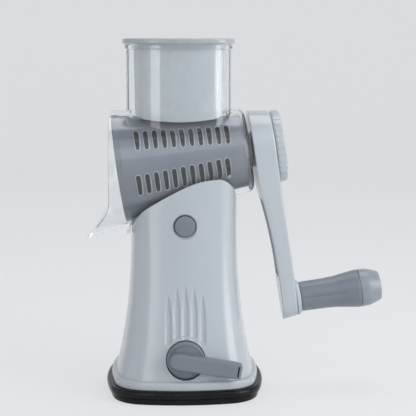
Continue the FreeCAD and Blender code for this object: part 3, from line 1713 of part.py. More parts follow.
def main():
    made = {}
    for label, maker in SUB_PARTS.items():
        made[label] = maker()
        made[label].Label = label
    DOC.recompute()
    for obj in DOC.Objects:
        if "Invalid" in obj.State or "Error" in obj.State:
            raise RuntimeError(f"{obj.Label} failed: {obj.State}")
    os.makedirs("parts", exist_ok=True)
    for label, obj in made.items():
        shape = obj.Shape
        if shape.isNull() or not shape.isValid() or not shape.Solids:
            raise RuntimeError(f"{label} has no valid solid")
        shape.exportStep(os.path.join("parts", label + ".step"))
        print(f"{label}: {len(shape.Solids)} solid(s), {len(shape.Faces)} faces, {shape.Volume:.0f} mm3")


main()
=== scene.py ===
"""Looks of the rotary shredder: each visible piece, its finish, the lights and the camera.

Pieces are drawn in millimetres. Those on the drum axis are drawn along local Z in the drum frame,
whose local X points down, and settle() then puts each one in its place in metres.
"""

import math

import bmesh
import bpy
from mathutils import Matrix, Vector


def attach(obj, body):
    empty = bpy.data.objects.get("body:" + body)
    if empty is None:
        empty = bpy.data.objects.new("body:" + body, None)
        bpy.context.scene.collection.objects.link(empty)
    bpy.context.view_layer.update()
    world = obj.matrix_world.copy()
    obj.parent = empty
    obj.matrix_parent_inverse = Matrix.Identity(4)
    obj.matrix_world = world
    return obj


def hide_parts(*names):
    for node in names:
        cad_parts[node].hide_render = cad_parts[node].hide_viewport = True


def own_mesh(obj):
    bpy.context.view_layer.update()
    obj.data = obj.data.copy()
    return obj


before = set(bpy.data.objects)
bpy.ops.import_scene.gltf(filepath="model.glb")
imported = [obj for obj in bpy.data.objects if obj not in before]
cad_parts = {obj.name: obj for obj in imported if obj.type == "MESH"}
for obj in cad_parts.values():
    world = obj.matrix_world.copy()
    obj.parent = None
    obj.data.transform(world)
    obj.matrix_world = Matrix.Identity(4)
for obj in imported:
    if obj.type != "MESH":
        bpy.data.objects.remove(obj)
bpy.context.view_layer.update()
scene = bpy.context.scene

# ---------------------------------------------------------------- sizes, in millimetres
AXIS_HEIGHT = 184.8
AXIS_TILT = math.radians(8.0)
TAPER_ANGLE = math.radians(7.7)
TAPER = math.tan(TAPER_ANGLE)
CHAMBER_RADIUS = 39.7
CHAMBER_WALL = 2.8
CHAMBER_END = 52.2
DRUM_RADIUS = 34.7
DRUM_FRONT = -47.4
DRUM_BACK = 46.0
CRANK_RADIUS = 124.0
TUBE_X = -4.0
PUSHER_SEAT = 275.8
PUSHER_TOP = 279.9
PUSHER_SOLE = 213.5
BUTTON_HEIGHT = 136.0
LEVER_HEIGHT = 33.6
LEVER_DROOP = math.radians(9.6)
BASE_HALF_WIDTH, BASE_HALF_DEPTH = 58.4, 58.0
BASE_BOTTOM, BASE_TOP = 11.0, 17.6
SHELL_WALL = 2.8
SADDLE_GAP = 0.4
SADDLE_THICKNESS = 3.2

WORLD = Matrix()
DRUM = Matrix.Translation((0, 0, AXIS_HEIGHT)) @ Matrix.Rotation(math.pi / 2 - AXIS_TILT, 4, "Y")
CRANK_PIN = DRUM @ Matrix.Translation((CRANK_RADIUS, 0, 0))


def front_at(x, z):
    """A frame on the front: local X right, local Y up, local Z towards the viewer."""
    return Matrix.Translation((x, 0, z)) @ Matrix.Rotation(math.pi / 2, 4, "X")


LEVER = front_at(0, LEVER_HEIGHT) @ Matrix.Rotation(-LEVER_DROOP, 4, "Z")


# ---------------------------------------------------------------- drawing
def new_piece(name, points, faces):
    mesh = bpy.data.meshes.new(name)
    mesh.from_pydata([tuple(p) for p in points], [], faces)
    piece = bpy.data.objects.new(name, mesh)
    scene.collection.objects.link(piece)
    return piece


def tidy(piece, gap=0.002):
    """Merges doubled points and turns a closed shell's faces outwards."""
    work = bmesh.new()
    work.from_mesh(piece.data)
    bmesh.ops.remove_doubles(work, verts=work.verts, dist=gap)
    bmesh.ops.dissolve_degenerate(work, edges=work.edges, dist=gap / 4)
    bmesh.ops.recalc_face_normals(work, faces=work.faces)
    work.to_mesh(piece.data)
    work.free()
    return piece


def settle(piece, place=WORLD, crease=32):
    """Puts a drawn piece where it belongs, in metres, and smooths what isn't a crease."""
    piece.data.transform(Matrix.Scale(0.001, 4) @ place)
    piece.data.shade_smooth()
    piece.data.set_sharp_from_angle(angle=math.radians(crease))
    return piece


def through_rings(name, rings, closed=False):
    """A shell through rings of equal length. A ring of one point is a pole; an open stack ends in
    poles or flat caps, and a closed one returns to its first ring."""
    points, faces, starts = [], [], []
    for ring in rings:
        starts.append((len(points), len(ring)))
        points += ring
    pairs = list(zip(starts, starts[1:])) + ([(starts[-1], starts[0])] if closed else [])
    for (low, low_count), (high, high_count) in pairs:
        count = max(low_count, high_count)
        for n in range(count):
            after = (n + 1) % count
            a, b = (low, low) if low_count == 1 else (low + n, low + after)
            d, c = (high, high) if high_count == 1 else (high + n, high + after)
            faces.append([v for v, w in zip((a, b, c, d), (b, c, d, a)) if v != w])
    if not closed:
        for start, count in (starts[0], starts[-1]):
            if count > 1:
                faces.append([start + n for n in range(count)])
    return tidy(new_piece(name, points, faces))


def soften(corners, closed=False, steps=5):
    """Rounds the corners (x, y, radius) of a line; a corner with no radius stays as it is."""
    result = []
    count = len(corners)
    for n, corner in enumerate(corners):
        here = Vector(corner[:2])
        radius = corner[2] if len(corner) > 2 else 0
        if not radius or (not closed and n in (0, count - 1)):
            result.append(tuple(here))
            continue
        before = Vector(corners[n - 1][:2]) - here
        after = Vector(corners[(n + 1) % count][:2]) - here
        angle = before.angle(after)
        reach = min(radius / math.tan(angle / 2), before.length * 0.49, after.length * 0.49)
        radius = reach * math.tan(angle / 2)
        middle = before.normalized() + after.normalized()
        centre = here + middle.normalized() * (radius / math.sin(angle / 2))
        first = here + before.normalized() * reach - centre
        last = here + after.normalized() * reach - centre
        turn = math.atan2(first.x * last.y - first.y * last.x, first.dot(last))
        for step in range(steps + 1):
            share = turn * step / steps
            cosine, sine = math.cos(share), math.sin(share)
            result.append(
                (
                    centre.x + first.x * cosine - first.y * sine,
                    centre.y + first.x * sine + first.y * cosine,
                )
            )
    return result


def turned(name, corners, closed=False, segments=96, radius_at=None):
    """A lathe turned piece from corners (radius, height, rounding) about local Z."""
    rings = []
    for radius, height in soften(corners, closed):
        if radius < 1e-6:
            rings.append([Vector((0, 0, height))])
            continue
        ring = []
        for n in range(segments):
            angle = 2 * math.pi * n / segments
            reach = radius_at(radius, height, angle) if radius_at else radius
            ring.append(Vector((reach * math.cos(angle), reach * math.sin(angle), height)))
        rings.append(ring)
    return through_rings(name, rings, closed)


def rounded_box_outline(half_x, half_y, corner, centre_x=0.0, arc_steps=4):
    """Outline of a rectangle with round corners, counter-clockwise."""
    points = []
    quarters = ((1, -1, -90), (1, 1, 0), (-1, 1, 90), (-1, -1, 180))
    for sign_x, sign_y, start in quarters:
        middle = Vector((centre_x + sign_x * (half_x - corner), sign_y * (half_y - corner), 0))
        for step in range(arc_steps + 1):
            angle = math.radians(start + 90 * step / arc_steps)
            points.append(middle + Vector((math.cos(angle), math.sin(angle), 0)) * corner)
    return points


def bowed_square(half_x, half_y, height, steps=(24, 24, 12), bow=2.9, round_off=0.46):
    """Outline of four bowed sides and four tangent round corners, counter-clockwise. The steps are
    those of the front, of each other side and of each corner."""
    front_steps, side_steps, corner_steps = steps
    bow_x, bow_y = bow * half_y, bow * half_x
    corner = round_off * min(half_x, half_y)
    first, second = Vector((half_x - bow_x, 0)), Vector((0, half_y - bow_y))
    reach_first, reach_second = bow_x - corner, bow_y - corner
    between = second - first
    along = (reach_first**2 - reach_second**2 + between.length**2) / (2 * between.length)
    across = math.sqrt(reach_first**2 - along**2)
    unit = between.normalized()
    centre = first + unit * along + Vector((-unit.y, unit.x)) * across
    side_end = math.atan2(*reversed((centre - first).normalized()))
    back_end = math.atan2(*reversed((centre - second).normalized()))
    points = []

    def arc(middle, radius, start, end, steps):
        for step in range(steps):
            angle = start + (end - start) * step / steps
            x, y = middle.x + radius * math.cos(angle), middle.y + radius * math.sin(angle)
            points.append(Vector((x, y, height)))

    half, full = math.pi, 2 * math.pi
    left, right = Vector((-centre.x, centre.y)), Vector((centre.x, -centre.y))
    arc(first, bow_x, -side_end, side_end, side_steps)
    arc(centre, corner, side_end, back_end, corner_steps)
    arc(second, bow_y, back_end, half - back_end, side_steps)
    arc(left, corner, half - back_end, half - side_end, corner_steps)
    arc(-first, bow_x, half - side_end, half + side_end, side_steps)
    arc(-centre, corner, half + side_end, half + back_end, corner_steps)
    arc(-second, bow_y, half + back_end, full - back_end, front_steps)
    arc(right, corner, full - back_end, full - side_end, corner_steps)
    return points


def drawn_in(outline, inset, height):
    """An outline moved inwards by an inset, at a height."""
    result = []
    count = len(outline)
    for n, point in enumerate(outline):
        run = (outline[(n + 1) % count] - outline[n - 1]).normalized()
        result.append(Vector((point.x - run.y * inset, point.y + run.x * inset, height)))
    return result


def stamped(name, outline, levels):
    """A plate whose outline is drawn in by steps (inset, height, rounding)."""
    rings = [drawn_in(outline, inset, height) for inset, height in soften(levels, steps=4)]
    return through_rings(name, rings)


def carve(piece, tool, how="DIFFERENCE"):
    """Cuts, joins or keeps the shared part of two closed pieces, and removes the tool."""
    change = piece.modifiers.new("carve", "BOOLEAN")
    change.operation = how
    change.object = tool
    change.solver = "EXACT"
    applied(piece)
    bpy.data.objects.remove(tool)
    return piece


def applied(piece):
    """Turns a piece with its modifiers into a plain mesh."""
    bpy.context.view_layer.update()
    evaluated = piece.evaluated_get(bpy.context.evaluated_depsgraph_get())
    mesh = bpy.data.meshes.new_from_object(evaluated)
    piece.modifiers.clear()
    piece.data = mesh
    return piece


def joined(name, *pieces):
    """Several drawn pieces as one, each staying a closed shell."""
    work = bmesh.new()
    for piece in pieces:
        work.from_mesh(piece.data)
        bpy.data.objects.remove(piece)
    mesh = bpy.data.meshes.new(name)
    work.to_mesh(mesh)
    work.free()
    piece = bpy.data.objects.new(name, mesh)
    scene.collection.objects.link(piece)
    return piece


# ---------------------------------------------------------------- rows round a cone
def add_node(tree, kind, **settings):
    node = tree.nodes.new(kind)
    for name, value in settings.items():
        setattr(node, name, value)
    return node


def maths(tree, operation, first, second=None):
    """The output of a Math node fed by sockets or numbers."""
    node = add_node(tree, "ShaderNodeMath", operation=operation)
    for socket, value in zip(node.inputs, (first, second)):
        if hasattr(value, "links"):
            tree.links.new(value, socket)
        elif value is not None:
            socket.default_value = value
    return node.outputs[0]


def row_tree():
    """Sets copies of a piece out in rows round a cone about local Z."""
    tree = bpy.data.node_groups.new("rows_round_a_cone", "GeometryNodeTree")
    tree.interface.new_socket("Piece", in_out="INPUT", socket_type="NodeSocketGeometry")
    for name in ("Rows", "In a Row"):
        tree.interface.new_socket(name, in_out="INPUT", socket_type="NodeSocketInt")
    for name in ("Pitch", "Middle", "Stagger", "Radius", "Taper Angle", "First Angle"):
        tree.interface.new_socket(name, in_out="INPUT", socket_type="NodeSocketFloat")
    tree.interface.new_socket("Finish", in_out="INPUT", socket_type="NodeSocketMaterial")
    tree.interface.new_socket("Geometry", in_out="OUTPUT", socket_type="NodeSocketGeometry")
    entry = tree.nodes.new("NodeGroupInput").outputs
    leave = tree.nodes.new("NodeGroupOutput")
    points = tree.nodes.new("GeometryNodePoints")
    index = tree.nodes.new("GeometryNodeInputIndex").outputs[0]
    tree.links.new(maths(tree, "MULTIPLY", entry["Rows"], entry["In a Row"]), points.inputs[0])
    row = maths(tree, "FLOOR", maths(tree, "DIVIDE", index, entry["In a Row"]))
    column = maths(tree, "MODULO", index, entry["In a Row"])
    middle_column = maths(tree, "DIVIDE", maths(tree, "SUBTRACT", entry["In a Row"], 1.0), 2.0)
    steps = maths(tree, "SUBTRACT", column, middle_column)
    along = maths(tree, "ADD", entry["Middle"], maths(tree, "MULTIPLY", steps, entry["Pitch"]))
    shift = maths(tree, "MULTIPLY", entry["Stagger"], maths(tree, "MODULO", row, 2.0))
    along = maths(tree, "ADD", along, shift)
    turn = maths(tree, "MULTIPLY", maths(tree, "DIVIDE", row, entry["Rows"]), 2 * math.pi)
    angle = maths(tree, "ADD", entry["First Angle"], turn)
    slope = maths(tree, "TANGENT", entry["Taper Angle"])
    radius = maths(tree, "SUBTRACT", entry["Radius"], maths(tree, "MULTIPLY", along, slope))
    outward = maths(tree, "MULTIPLY", radius, -1.0)
    place = tree.nodes.new("ShaderNodeCombineXYZ")
    tree.links.new(maths(tree, "MULTIPLY", outward, maths(tree, "SINE", angle)), place.inputs[0])
    tree.links.new(maths(tree, "MULTIPLY", outward, maths(tree, "COSINE", angle)), place.inputs[1])
    tree.links.new(along, place.inputs[2])
    tree.links.new(place.outputs[0], points.inputs["Position"])
    facing = tree.nodes.new("ShaderNodeCombineXYZ")
    tree.links.new(maths(tree, "MULTIPLY", entry["Taper Angle"], -1.0), facing.inputs[0])
    tree.links.new(maths(tree, "MULTIPLY", angle, -1.0), facing.inputs[2])
    rotation = tree.nodes.new("FunctionNodeEulerToRotation")
    tree.links.new(facing.outputs[0], rotation.inputs[0])
    copies = tree.nodes.new("GeometryNodeInstanceOnPoints")
    tree.links.new(points.outputs[0], copies.inputs["Points"])
    tree.links.new(entry["Piece"], copies.inputs["Instance"])
    tree.links.new(rotation.outputs[0], copies.inputs["Rotation"])
    real = tree.nodes.new("GeometryNodeRealizeInstances")
    finish = tree.nodes.new("GeometryNodeSetMaterial")
    tree.links.new(copies.outputs[0], real.inputs[0])
    tree.links.new(real.outputs[0], finish.inputs["Geometry"])
    tree.links.new(entry["Finish"], finish.inputs["Material"])
    tree.links.new(finish.outputs[0], leave.inputs[0])
    return tree


ROWS = row_tree()


def set_out(piece, finish, sizes):
    """Repeats a piece drawn at local Y = 0, facing -Y, in rows round a cone."""
    change = piece.modifiers.new("rows", "NODES")
    change.node_group = ROWS
    for socket in ROWS.interface.items_tree:
        if socket.in_out == "INPUT" and socket.name in sizes:
            change[socket.identifier] = sizes[socket.name]
        elif socket.name == "Finish":
            change[socket.identifier] = finish
    return applied(piece)


# ---------------------------------------------------------------- finishes
def blank_material(name):
    material = bpy.data.materials.new(name)
    material.use_nodes = True
    tree = material.node_tree
    shader = next(n for n in tree.nodes if n.type == "BSDF_PRINCIPLED")
    coordinates = tree.nodes.new("ShaderNodeTexCoord").outputs["Object"]
    return material, tree, shader, coordinates


def noise(tree, coordinates, scale, detail, stretch=None, turned_to=None):
    """The strength of a noise pattern, in cells per metre, stretched along an axis if asked."""
    if stretch:
        mapping = add_node(tree, "ShaderNodeMapping")
        mapping.inputs["Scale"].default_value = stretch
        if turned_to:
            mapping.inputs["Rotation"].default_value = turned_to
        tree.links.new(coordinates, mapping.inputs["Vector"])
        coordinates = mapping.outputs[0]
    pattern = add_node(tree, "ShaderNodeTexNoise")
    pattern.inputs["Scale"].default_value = scale
    pattern.inputs["Detail"].default_value = detail
    tree.links.new(coordinates, pattern.inputs["Vector"])
    return pattern.outputs["Fac"]


NOISE_LOW, NOISE_HIGH = 0.3, 0.7


def between(tree, factor, low, high):
    """Spreads a pattern between two numbers."""
    spread = add_node(tree, "ShaderNodeMapRange")
    spread.inputs["From Min"].default_value = NOISE_LOW
    spread.inputs["From Max"].default_value = NOISE_HIGH
    spread.inputs["To Min"].default_value = low
    spread.inputs["To Max"].default_value = high
    tree.links.new(factor, spread.inputs["Value"])
    return spread.outputs[0]


def blend_colours(tree, factor, low, high):
    """Spreads a pattern between two colours."""
    ramp = add_node(tree, "ShaderNodeValToRGB")
    ramp.color_ramp.elements[0].position = NOISE_LOW
    ramp.color_ramp.elements[1].position = NOISE_HIGH
    ramp.color_ramp.elements[0].color = (*low, 1)
    ramp.color_ramp.elements[1].color = (*high, 1)
    tree.links.new(factor, ramp.inputs[0])
    return ramp.outputs[0]


def raised(tree, shader, *layers):
    """Adds bumps, each (pattern, depth in metres, strength), one on another."""
    normal = None
    for pattern, depth, strength in layers:
        bump = add_node(tree, "ShaderNodeBump")
        bump.inputs["Distance"].default_value = depth
        bump.inputs["Strength"].default_value = strength
        tree.links.new(pattern, bump.inputs["Height"])
        if normal:
            tree.links.new(normal, bump.inputs["Normal"])
        normal = bump.outputs[0]
    tree.links.new(normal, shader.inputs["Normal"])


def shown_as(tree, choice, first, second):
    """The surface shows the first shader where the choice is 0 and the second where it is 1."""
    mix = add_node(tree, "ShaderNodeMixShader")
    surface = next(n for n in tree.nodes if n.type == "OUTPUT_MATERIAL")
    tree.links.new(choice, mix.inputs[0])
    tree.links.new(first.outputs[0], mix.inputs[1])
    tree.links.new(second.outputs[0], mix.inputs[2])
    tree.links.new(mix.outputs[0], surface.inputs[0])


def shade(colour, amount):
    return tuple(min(1.0, channel * amount) for channel in colour)


def moulded_plastic(name, colour, roughness, grain, coat=0.0, mottle=0.03, handled=0.1):
    """Injection moulded plastic: faint flow marks, fine grain (its depth in metres) and a trace of
    handling."""
    material, tree, shader, coordinates = blank_material(name)
    flow = noise(tree, coordinates, 28, 2.0, stretch=(1.0, 1.0, 0.35))
    tree.links.new(
        blend_colours(tree, flow, shade(colour, 1 - mottle), shade(colour, 1 + mottle)),
        shader.inputs["Base Color"],
    )
    handling = noise(tree, coordinates, 40, 2.0)
    tree.links.new(
        between(tree, handling, roughness * (1 - handled), roughness * (1 + handled)),
        shader.inputs["Roughness"],
    )
    skin = noise(tree, coordinates, 2600, 2.0)
    raised(tree, shader, (skin, grain, 0.5))
    shader.inputs["Coat Weight"].default_value = coat
    shader.inputs["Coat Roughness"].default_value = 0.14
    shader.inputs["IOR"].default_value = 1.5
    return material


def clear_plastic(name, tint, roughness):
    """Clear moulded wall: glass to the eye, open to the light of lamps, and bright at its edges,
    because a ray caught inside the wall passes straight on."""
    material, tree, shader, coordinates = blank_material(name)
    shader.inputs["Base Color"].default_value = (*tint, 1)
    shader.inputs["Transmission Weight"].default_value = 0.99
    shader.inputs["IOR"].default_value = 1.46
    wiped = noise(tree, coordinates, 60, 4.0)
    tree.links.new(
        between(tree, wiped, roughness * 0.4, roughness * 1.6), shader.inputs["Roughness"]
    )
    swell = noise(tree, coordinates, 22, 1.0)
    raised(tree, shader, (swell, 0.0006, 0.06))
    straight_on = add_node(tree, "ShaderNodeBsdfTransparent")
    straight_on.inputs[0].default_value = (0.93, 0.95, 0.96, 1)
    path = add_node(tree, "ShaderNodeLightPath").outputs
    caught = maths(tree, "GREATER_THAN", path["Ray Depth"], 4.5)
    passes = maths(tree, "MAXIMUM", path["Is Shadow Ray"], caught)
    shown_as(tree, passes, shader, straight_on)
    return material


def milky_plastic(name, colour):
    """Part-clear pusher plastic: soft inside, smooth outside."""
    material, tree, shader, coordinates = blank_material(name)
    cloud = noise(tree, coordinates, 30, 2.0, stretch=(1.0, 1.0, 0.4))
    tree.links.new(
        blend_colours(tree, cloud, shade(colour, 0.97), shade(colour, 1.03)),
        shader.inputs["Base Color"],
    )
    tree.links.new(
        between(tree, noise(tree, coordinates, 70, 3.0), 0.2, 0.32), shader.inputs["Roughness"]
    )
    shader.inputs["Subsurface Weight"].default_value = 0.35
    shader.inputs["Subsurface Radius"].default_value = (1.0, 1.0, 1.0)
    shader.inputs["Subsurface Scale"].default_value = 0.004
    shader.inputs["Coat Weight"].default_value = 0.5
    shader.inputs["Coat Roughness"].default_value = 0.05
    skin = noise(tree, coordinates, 2200, 2.0)
    raised(tree, shader, (skin, 0.00001, 0.4))
    return material


def drawn_metal(name, colour, roughness, metal=1.0):
    """Sheet metal with fine lines round the drum and a few rubbed places."""
    material, tree, shader, coordinates = blank_material(name)
    lines = noise(
        tree, coordinates, 60, 5.0, stretch=(28.0, 1.0, 1.0), turned_to=(0, AXIS_TILT, 0)
    )
    rubbed = noise(tree, coordinates, 45, 3.0)
    tree.links.new(
        blend_colours(tree, rubbed, shade(colour, 0.92), shade(colour, 1.07)),
        shader.inputs["Base Color"],
    )
    tree.links.new(
        between(tree, lines, roughness * 0.75, roughness * 1.3), shader.inputs["Roughness"]
    )
    raised(tree, shader, (lines, 0.00005, 0.35))
    shader.inputs["Metallic"].default_value = metal
    return material


def rubber(name):
    """Black moulded rubber with a polished outer face."""
    material, tree, shader, coordinates = blank_material(name)
    bloom = noise(tree, coordinates, 55, 4.0)
    tree.links.new(
        blend_colours(tree, bloom, (0.004, 0.004, 0.005), (0.009, 0.009, 0.01)),
        shader.inputs["Base Color"],
    )
    tree.links.new(between(tree, bloom, 0.22, 0.32), shader.inputs["Roughness"])
    shader.inputs["Specular IOR Level"].default_value = 0.2
    skin = noise(tree, coordinates, 1500, 3.0)
    raised(tree, shader, (skin, 0.00003, 0.4))
    return material


GLOSS_WHITE = moulded_plastic("gloss_white", (0.55, 0.6, 0.64), 0.24, 0.000004, 0.45, 0.01, 0.05)
HANDLE_GREY = moulded_plastic("handle_grey", (0.215, 0.242, 0.28), 0.36, 0.00002, 0.2)
CAP_GREY = moulded_plastic("cap_grey", (0.31, 0.345, 0.395), 0.3, 0.00001, 0.3)
DRUM_GREY = moulded_plastic("drum_grey", (0.15, 0.167, 0.196), 0.38, 0.00002, 0.2)
INNER_GREY = moulded_plastic("inner_grey", (0.5, 0.52, 0.54), 0.5, 0.00004)
BEARING_WHITE = moulded_plastic("bearing_white", (0.6, 0.62, 0.63), 0.4, 0.00002)
CLEAR = clear_plastic("clear_wall", (0.965, 0.98, 0.99), 0.025)
MILKY = milky_plastic("milky_pusher", (0.445, 0.478, 0.5))
DRUM_METAL = drawn_metal("drum_sheet_metal", (0.2, 0.22, 0.254), 0.42, 0.5)
# Tooth steel painted much lighter than the drum sheet it is stamped from: a painted highlight on
# the teeth's lips.
TOOTH_METAL_PAINTED_HIGHLIGHT = drawn_metal("tooth_metal_painted_highlight", (0.56, 0.59, 0.63), 0.34, 0.8)
# Steel of the drum's inside, painted near-black: painted shade standing in for the dark inside the
# drum.
DRUM_INSIDE_PAINTED_SHADE = drawn_metal("drum_inner_face_painted_shade", (0.014, 0.015, 0.017), 0.7, 0.3)
BRIGHT_METAL = drawn_metal("bright_steel", (0.55, 0.56, 0.57), 0.25)
BLACK_RUBBER = rubber("black_rubber")


def finished(piece, body, material, slot, *nodes):
    """Gives a piece its finish, lets it ride on its body, and hides the CAD nodes it stands for;
    the slot is not used.
    """
    piece.data.materials.clear()
    piece.data.materials.append(material)
    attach(piece, body)
    if nodes:
        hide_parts(*nodes)
    return piece


# ---------------------------------------------------------------- stand
def stand_half_width(height):
    share = max(0.0, (150.0 - height) / 132.0)
    return 41.8 + 13.2 * share**2.6


def stand_half_depth(height):
    share = max(0.0, (165.0 - height) / 147.0)
    return 36.0 + 18.2 * share**1.9


def gap_to_cone(point, grow):
    """How far a point lies outside the chamber's cone, grown by some amount."""
    local = DRUM.inverted() @ point
    return math.hypot(local.x, local.y) - (CHAMBER_RADIUS + grow - local.z * TAPER)


def seat_height(x, y, grow=SADDLE_GAP):
    """Height of the saddle under the chamber at a place."""
    low, high = 100.0, AXIS_HEIGHT + x * math.tan(AXIS_TILT)
    for _ in range(26):
        middle = (low + high) / 2
        if gap_to_cone(Vector((x, y, middle)), grow) > 0:
            low = middle
        else:
            high = middle
    return (low + high) / 2


COLUMN_STEPS = (108, 26, 14)
FLUTE_BOTTOM, FLUTE_LENGTH = 52.0, 38.0
FLUTE_HALF, FLUTE_PITCH, FLUTE_DEPTH = 2.7, 6.6, 1.6
OUTLINE_STEP = 0.5
kept_outlines = {}


def column_outline(height, inset):
    half_width, half_depth = stand_half_width(height), stand_half_depth(height)
    return bowed_square(half_width - inset, half_depth - inset, height, COLUMN_STEPS)


def flute_depth(x, height):
    """Depth of the five tapered flutes at a place on the front; the outer two start lower."""
    deepest = 0.0
    for side in range(-2, 3):
        bottom = FLUTE_BOTTOM - (4.2 if abs(side) == 2 else 0.0)
        top = bottom + FLUTE_LENGTH - abs(side) * 1.2
        waist = bottom + FLUTE_LENGTH * 0.4
        if height < bottom:
            half = math.sqrt(max(0.0, FLUTE_HALF**2 - (bottom - height) ** 2))
        elif height < waist:
            half = FLUTE_HALF
        else:
            half = FLUTE_HALF * (1 - min(1.0, (height - waist) / (top - waist)) ** 2)
        reach = abs(x - side * FLUTE_PITCH)
        if half > 0.05 and reach < half:
            across = 1 - (reach / half) ** 2
            fade = min(1.0, half / FLUTE_HALF + 0.15)
            deepest = max(deepest, FLUTE_DEPTH * fade * across**0.6)
    return deepest


def column_top(index, inset=0.0, grow=SADDLE_GAP):
    """Where a line up the column meets the saddle."""
    low, high = 118.0, 178.0
    for _ in range(12):
        middle = (low + high) / 2
        if gap_to_cone(column_point(index, middle, inset), grow) > 0:
            low = middle
        else:
            high = middle
    return (low + high) / 2


def column_point(index, height, inset=0.0):
    """A point of the column's outline, between outlines kept at even heights."""
    low = math.floor(height / OUTLINE_STEP)
    for level in (low, low + 1):
        if (level, inset) not in kept_outlines:
            kept_outlines[(level, inset)] = column_outline(level * OUTLINE_STEP, inset)
    share = height / OUTLINE_STEP - low
    below, above = kept_outlines[(low, inset)], kept_outlines[(low + 1, inset)]
    return below[index].lerp(above[index], share)


def draw_stand():
    """One moulded shell: base, fluted column, saddle with its socket, and the inside."""
    front_steps, side_steps, corner_steps = COLUMN_STEPS
    count = front_steps + 3 * side_steps + 4 * corner_steps
    rings = []
    base_levels = soften(
        [
            (4.0, BASE_BOTTOM),
            (0.0, BASE_BOTTOM, 0.9),
            (0.0, BASE_TOP, 1.6),
            (3.4, BASE_TOP),
        ],
        steps=4,
    )
    for inset, height in base_levels:
        half_width, half_depth = BASE_HALF_WIDTH - inset, BASE_HALF_DEPTH - inset
        rings.append(bowed_square(half_width, half_depth, height, COLUMN_STEPS))
    rows = 128
    tops = [column_top(n) for n in range(count)]
    for row in range(rows + 1):
        share = row / rows
        ring = []
        for n in range(count):
            height = BASE_TOP + (tops[n] - 0.7 - BASE_TOP) * share
            point = column_point(n, height)
            if point.y < 0:
                point = point + Vector((0, flute_depth(point.x, height), 0))
            ring.append(point)
        rings.append(ring)
    for inset, drop in ((0.15, 0.25), (0.5, 0.0)):
        ring = []
        for n in range(count):
            point = column_point(n, tops[n], inset)
            ring.append(Vector((point.x, point.y, seat_height(point.x, point.y) - drop)))
        rings.append(ring)
    edge = rings[-1]
    hole = matched_hole(edge, 15.3, 8.3)
    for share in (0.12, 0.3, 0.5, 0.7, 0.86, 1.0):
        ring = [a.lerp(b, share) for a, b in zip(edge, hole)]
        rings.append([Vector((p.x, p.y, seat_height(p.x, p.y))) for p in ring])
    socket_floor = 121.7
    rings.append([Vector((p.x, p.y, socket_floor)) for p in hole])
    wide_hole = matched_hole(edge, 17.5, 10.5)
    rings.append([Vector((p.x, p.y, socket_floor)) for p in wide_hole])
    under = SADDLE_GAP + SADDLE_THICKNESS
    rings.append([Vector((p.x, p.y, seat_height(p.x, p.y, under))) for p in wide_hole])
    inner_tops = [column_top(n, SHELL_WALL, under) for n in range(count)]
    for share in (0.0, 0.25, 0.5, 0.75, 1.0):
        ring = []
        for n in range(count):
            height = inner_tops[n] + (12.0 - inner_tops[n]) * share
            ring.append(column_point(n, height, SHELL_WALL))
        rings.append(ring)
    shell = through_rings("stand_moulding", rings, closed=True)

    bore = turned(
        "button_bore",
        [(0, 20), (8.5, 20), (8.5, 35.3, 0.8), (10.6, 37.6), (10.6, 45), (0, 45)],
        segments=72,
    )
    bore.data.transform(front_at(0, BUTTON_HEIGHT))
    carve(shell, bore)
    well = turned("dial_well", [(0, 45.0), (15.3, 45.0), (15.3, 70), (0, 70)], segments=96)
    well.data.transform(front_at(0, LEVER_HEIGHT))
    carve(shell, well)
    cup = turned(
        "dial_cup",
        [
            (5.1, 42.0),
            (18.3, 42.0, 1),
            (18.3, 47.0),
            (15.42, 47.0),
            (15.42, 45.0, 0.5),
            (5.1, 45.0),
        ],
        closed=True,
        segments=96,
    )
    cup.data.transform(front_at(0, LEVER_HEIGHT))
    whole = joined("stand_moulding", shell, cup)
    return settle(whole, crease=38)


def matched_hole(edge, half_x, half_y):
    """A rectangle's outline with one point for each point of a ring round it."""
    result = []
    for point in edge:
        angle = math.atan2(point.y, point.x)
        cosine, sine = math.cos(angle), math.sin(angle)
        reach = min(half_x / max(1e-6, abs(cosine)), half_y / max(1e-6, abs(sine)))
        result.append(Vector((reach * cosine, reach * sine, 0)))
    return result


finished(draw_stand(), "stand", GLOSS_WHITE, "white_shell", "stand_shell")


def draw_pad():
    """Rubber foot: sole, groove, bulging rim, and the web inside it."""
    levels = soften(
        [
            (26.0, 2.2),
            (13.0, 1.6),
            (11.0, 0.0, 0.6),
            (2.6, 0.0, 1.2),
            (2.2, 4.4, 0.3),
            (3.0, 5.0, 0.3),
            (0.4, 5.8, 0.8),
            (0.0, 8.6, 0.6),
            (0.7, 11.0, 1.6),
            (6.0, 11.0),
            (15.0, 10.6),
            (15.2, 4.5),
            (26.0, 4.5),
        ],
        steps=3,
    )
    rings = [[Vector((0, 0, 2.2))]]
    rings += [bowed_square(62.6 - inset, 61.6 - inset, height) for inset, height in levels]
    rings.append([Vector((0, 0, 4.5))])
    return settle(through_rings("suction_foot_rubber", rings), crease=45)


finished(draw_pad(), "stand", BLACK_RUBBER, "black_rubber", "suction_pad")

button = turned(
    "button_cap",
    [
        (0, 38.3),
        (5.0, 38.1),
        (8.0, 37.7, 0.8),
        (8.0, 32.1),
        (10.2, 32.1, 0.4),
        (10.2, 30.5),
        (3.0, 30.5),
        (3.0, 25.0),
        (0, 25.0),
    ],
    segments=72,
)
settle(button, front_at(0, BUTTON_HEIGHT))
finished(button, "button", HANDLE_GREY, "grey_plastic", "release_button")


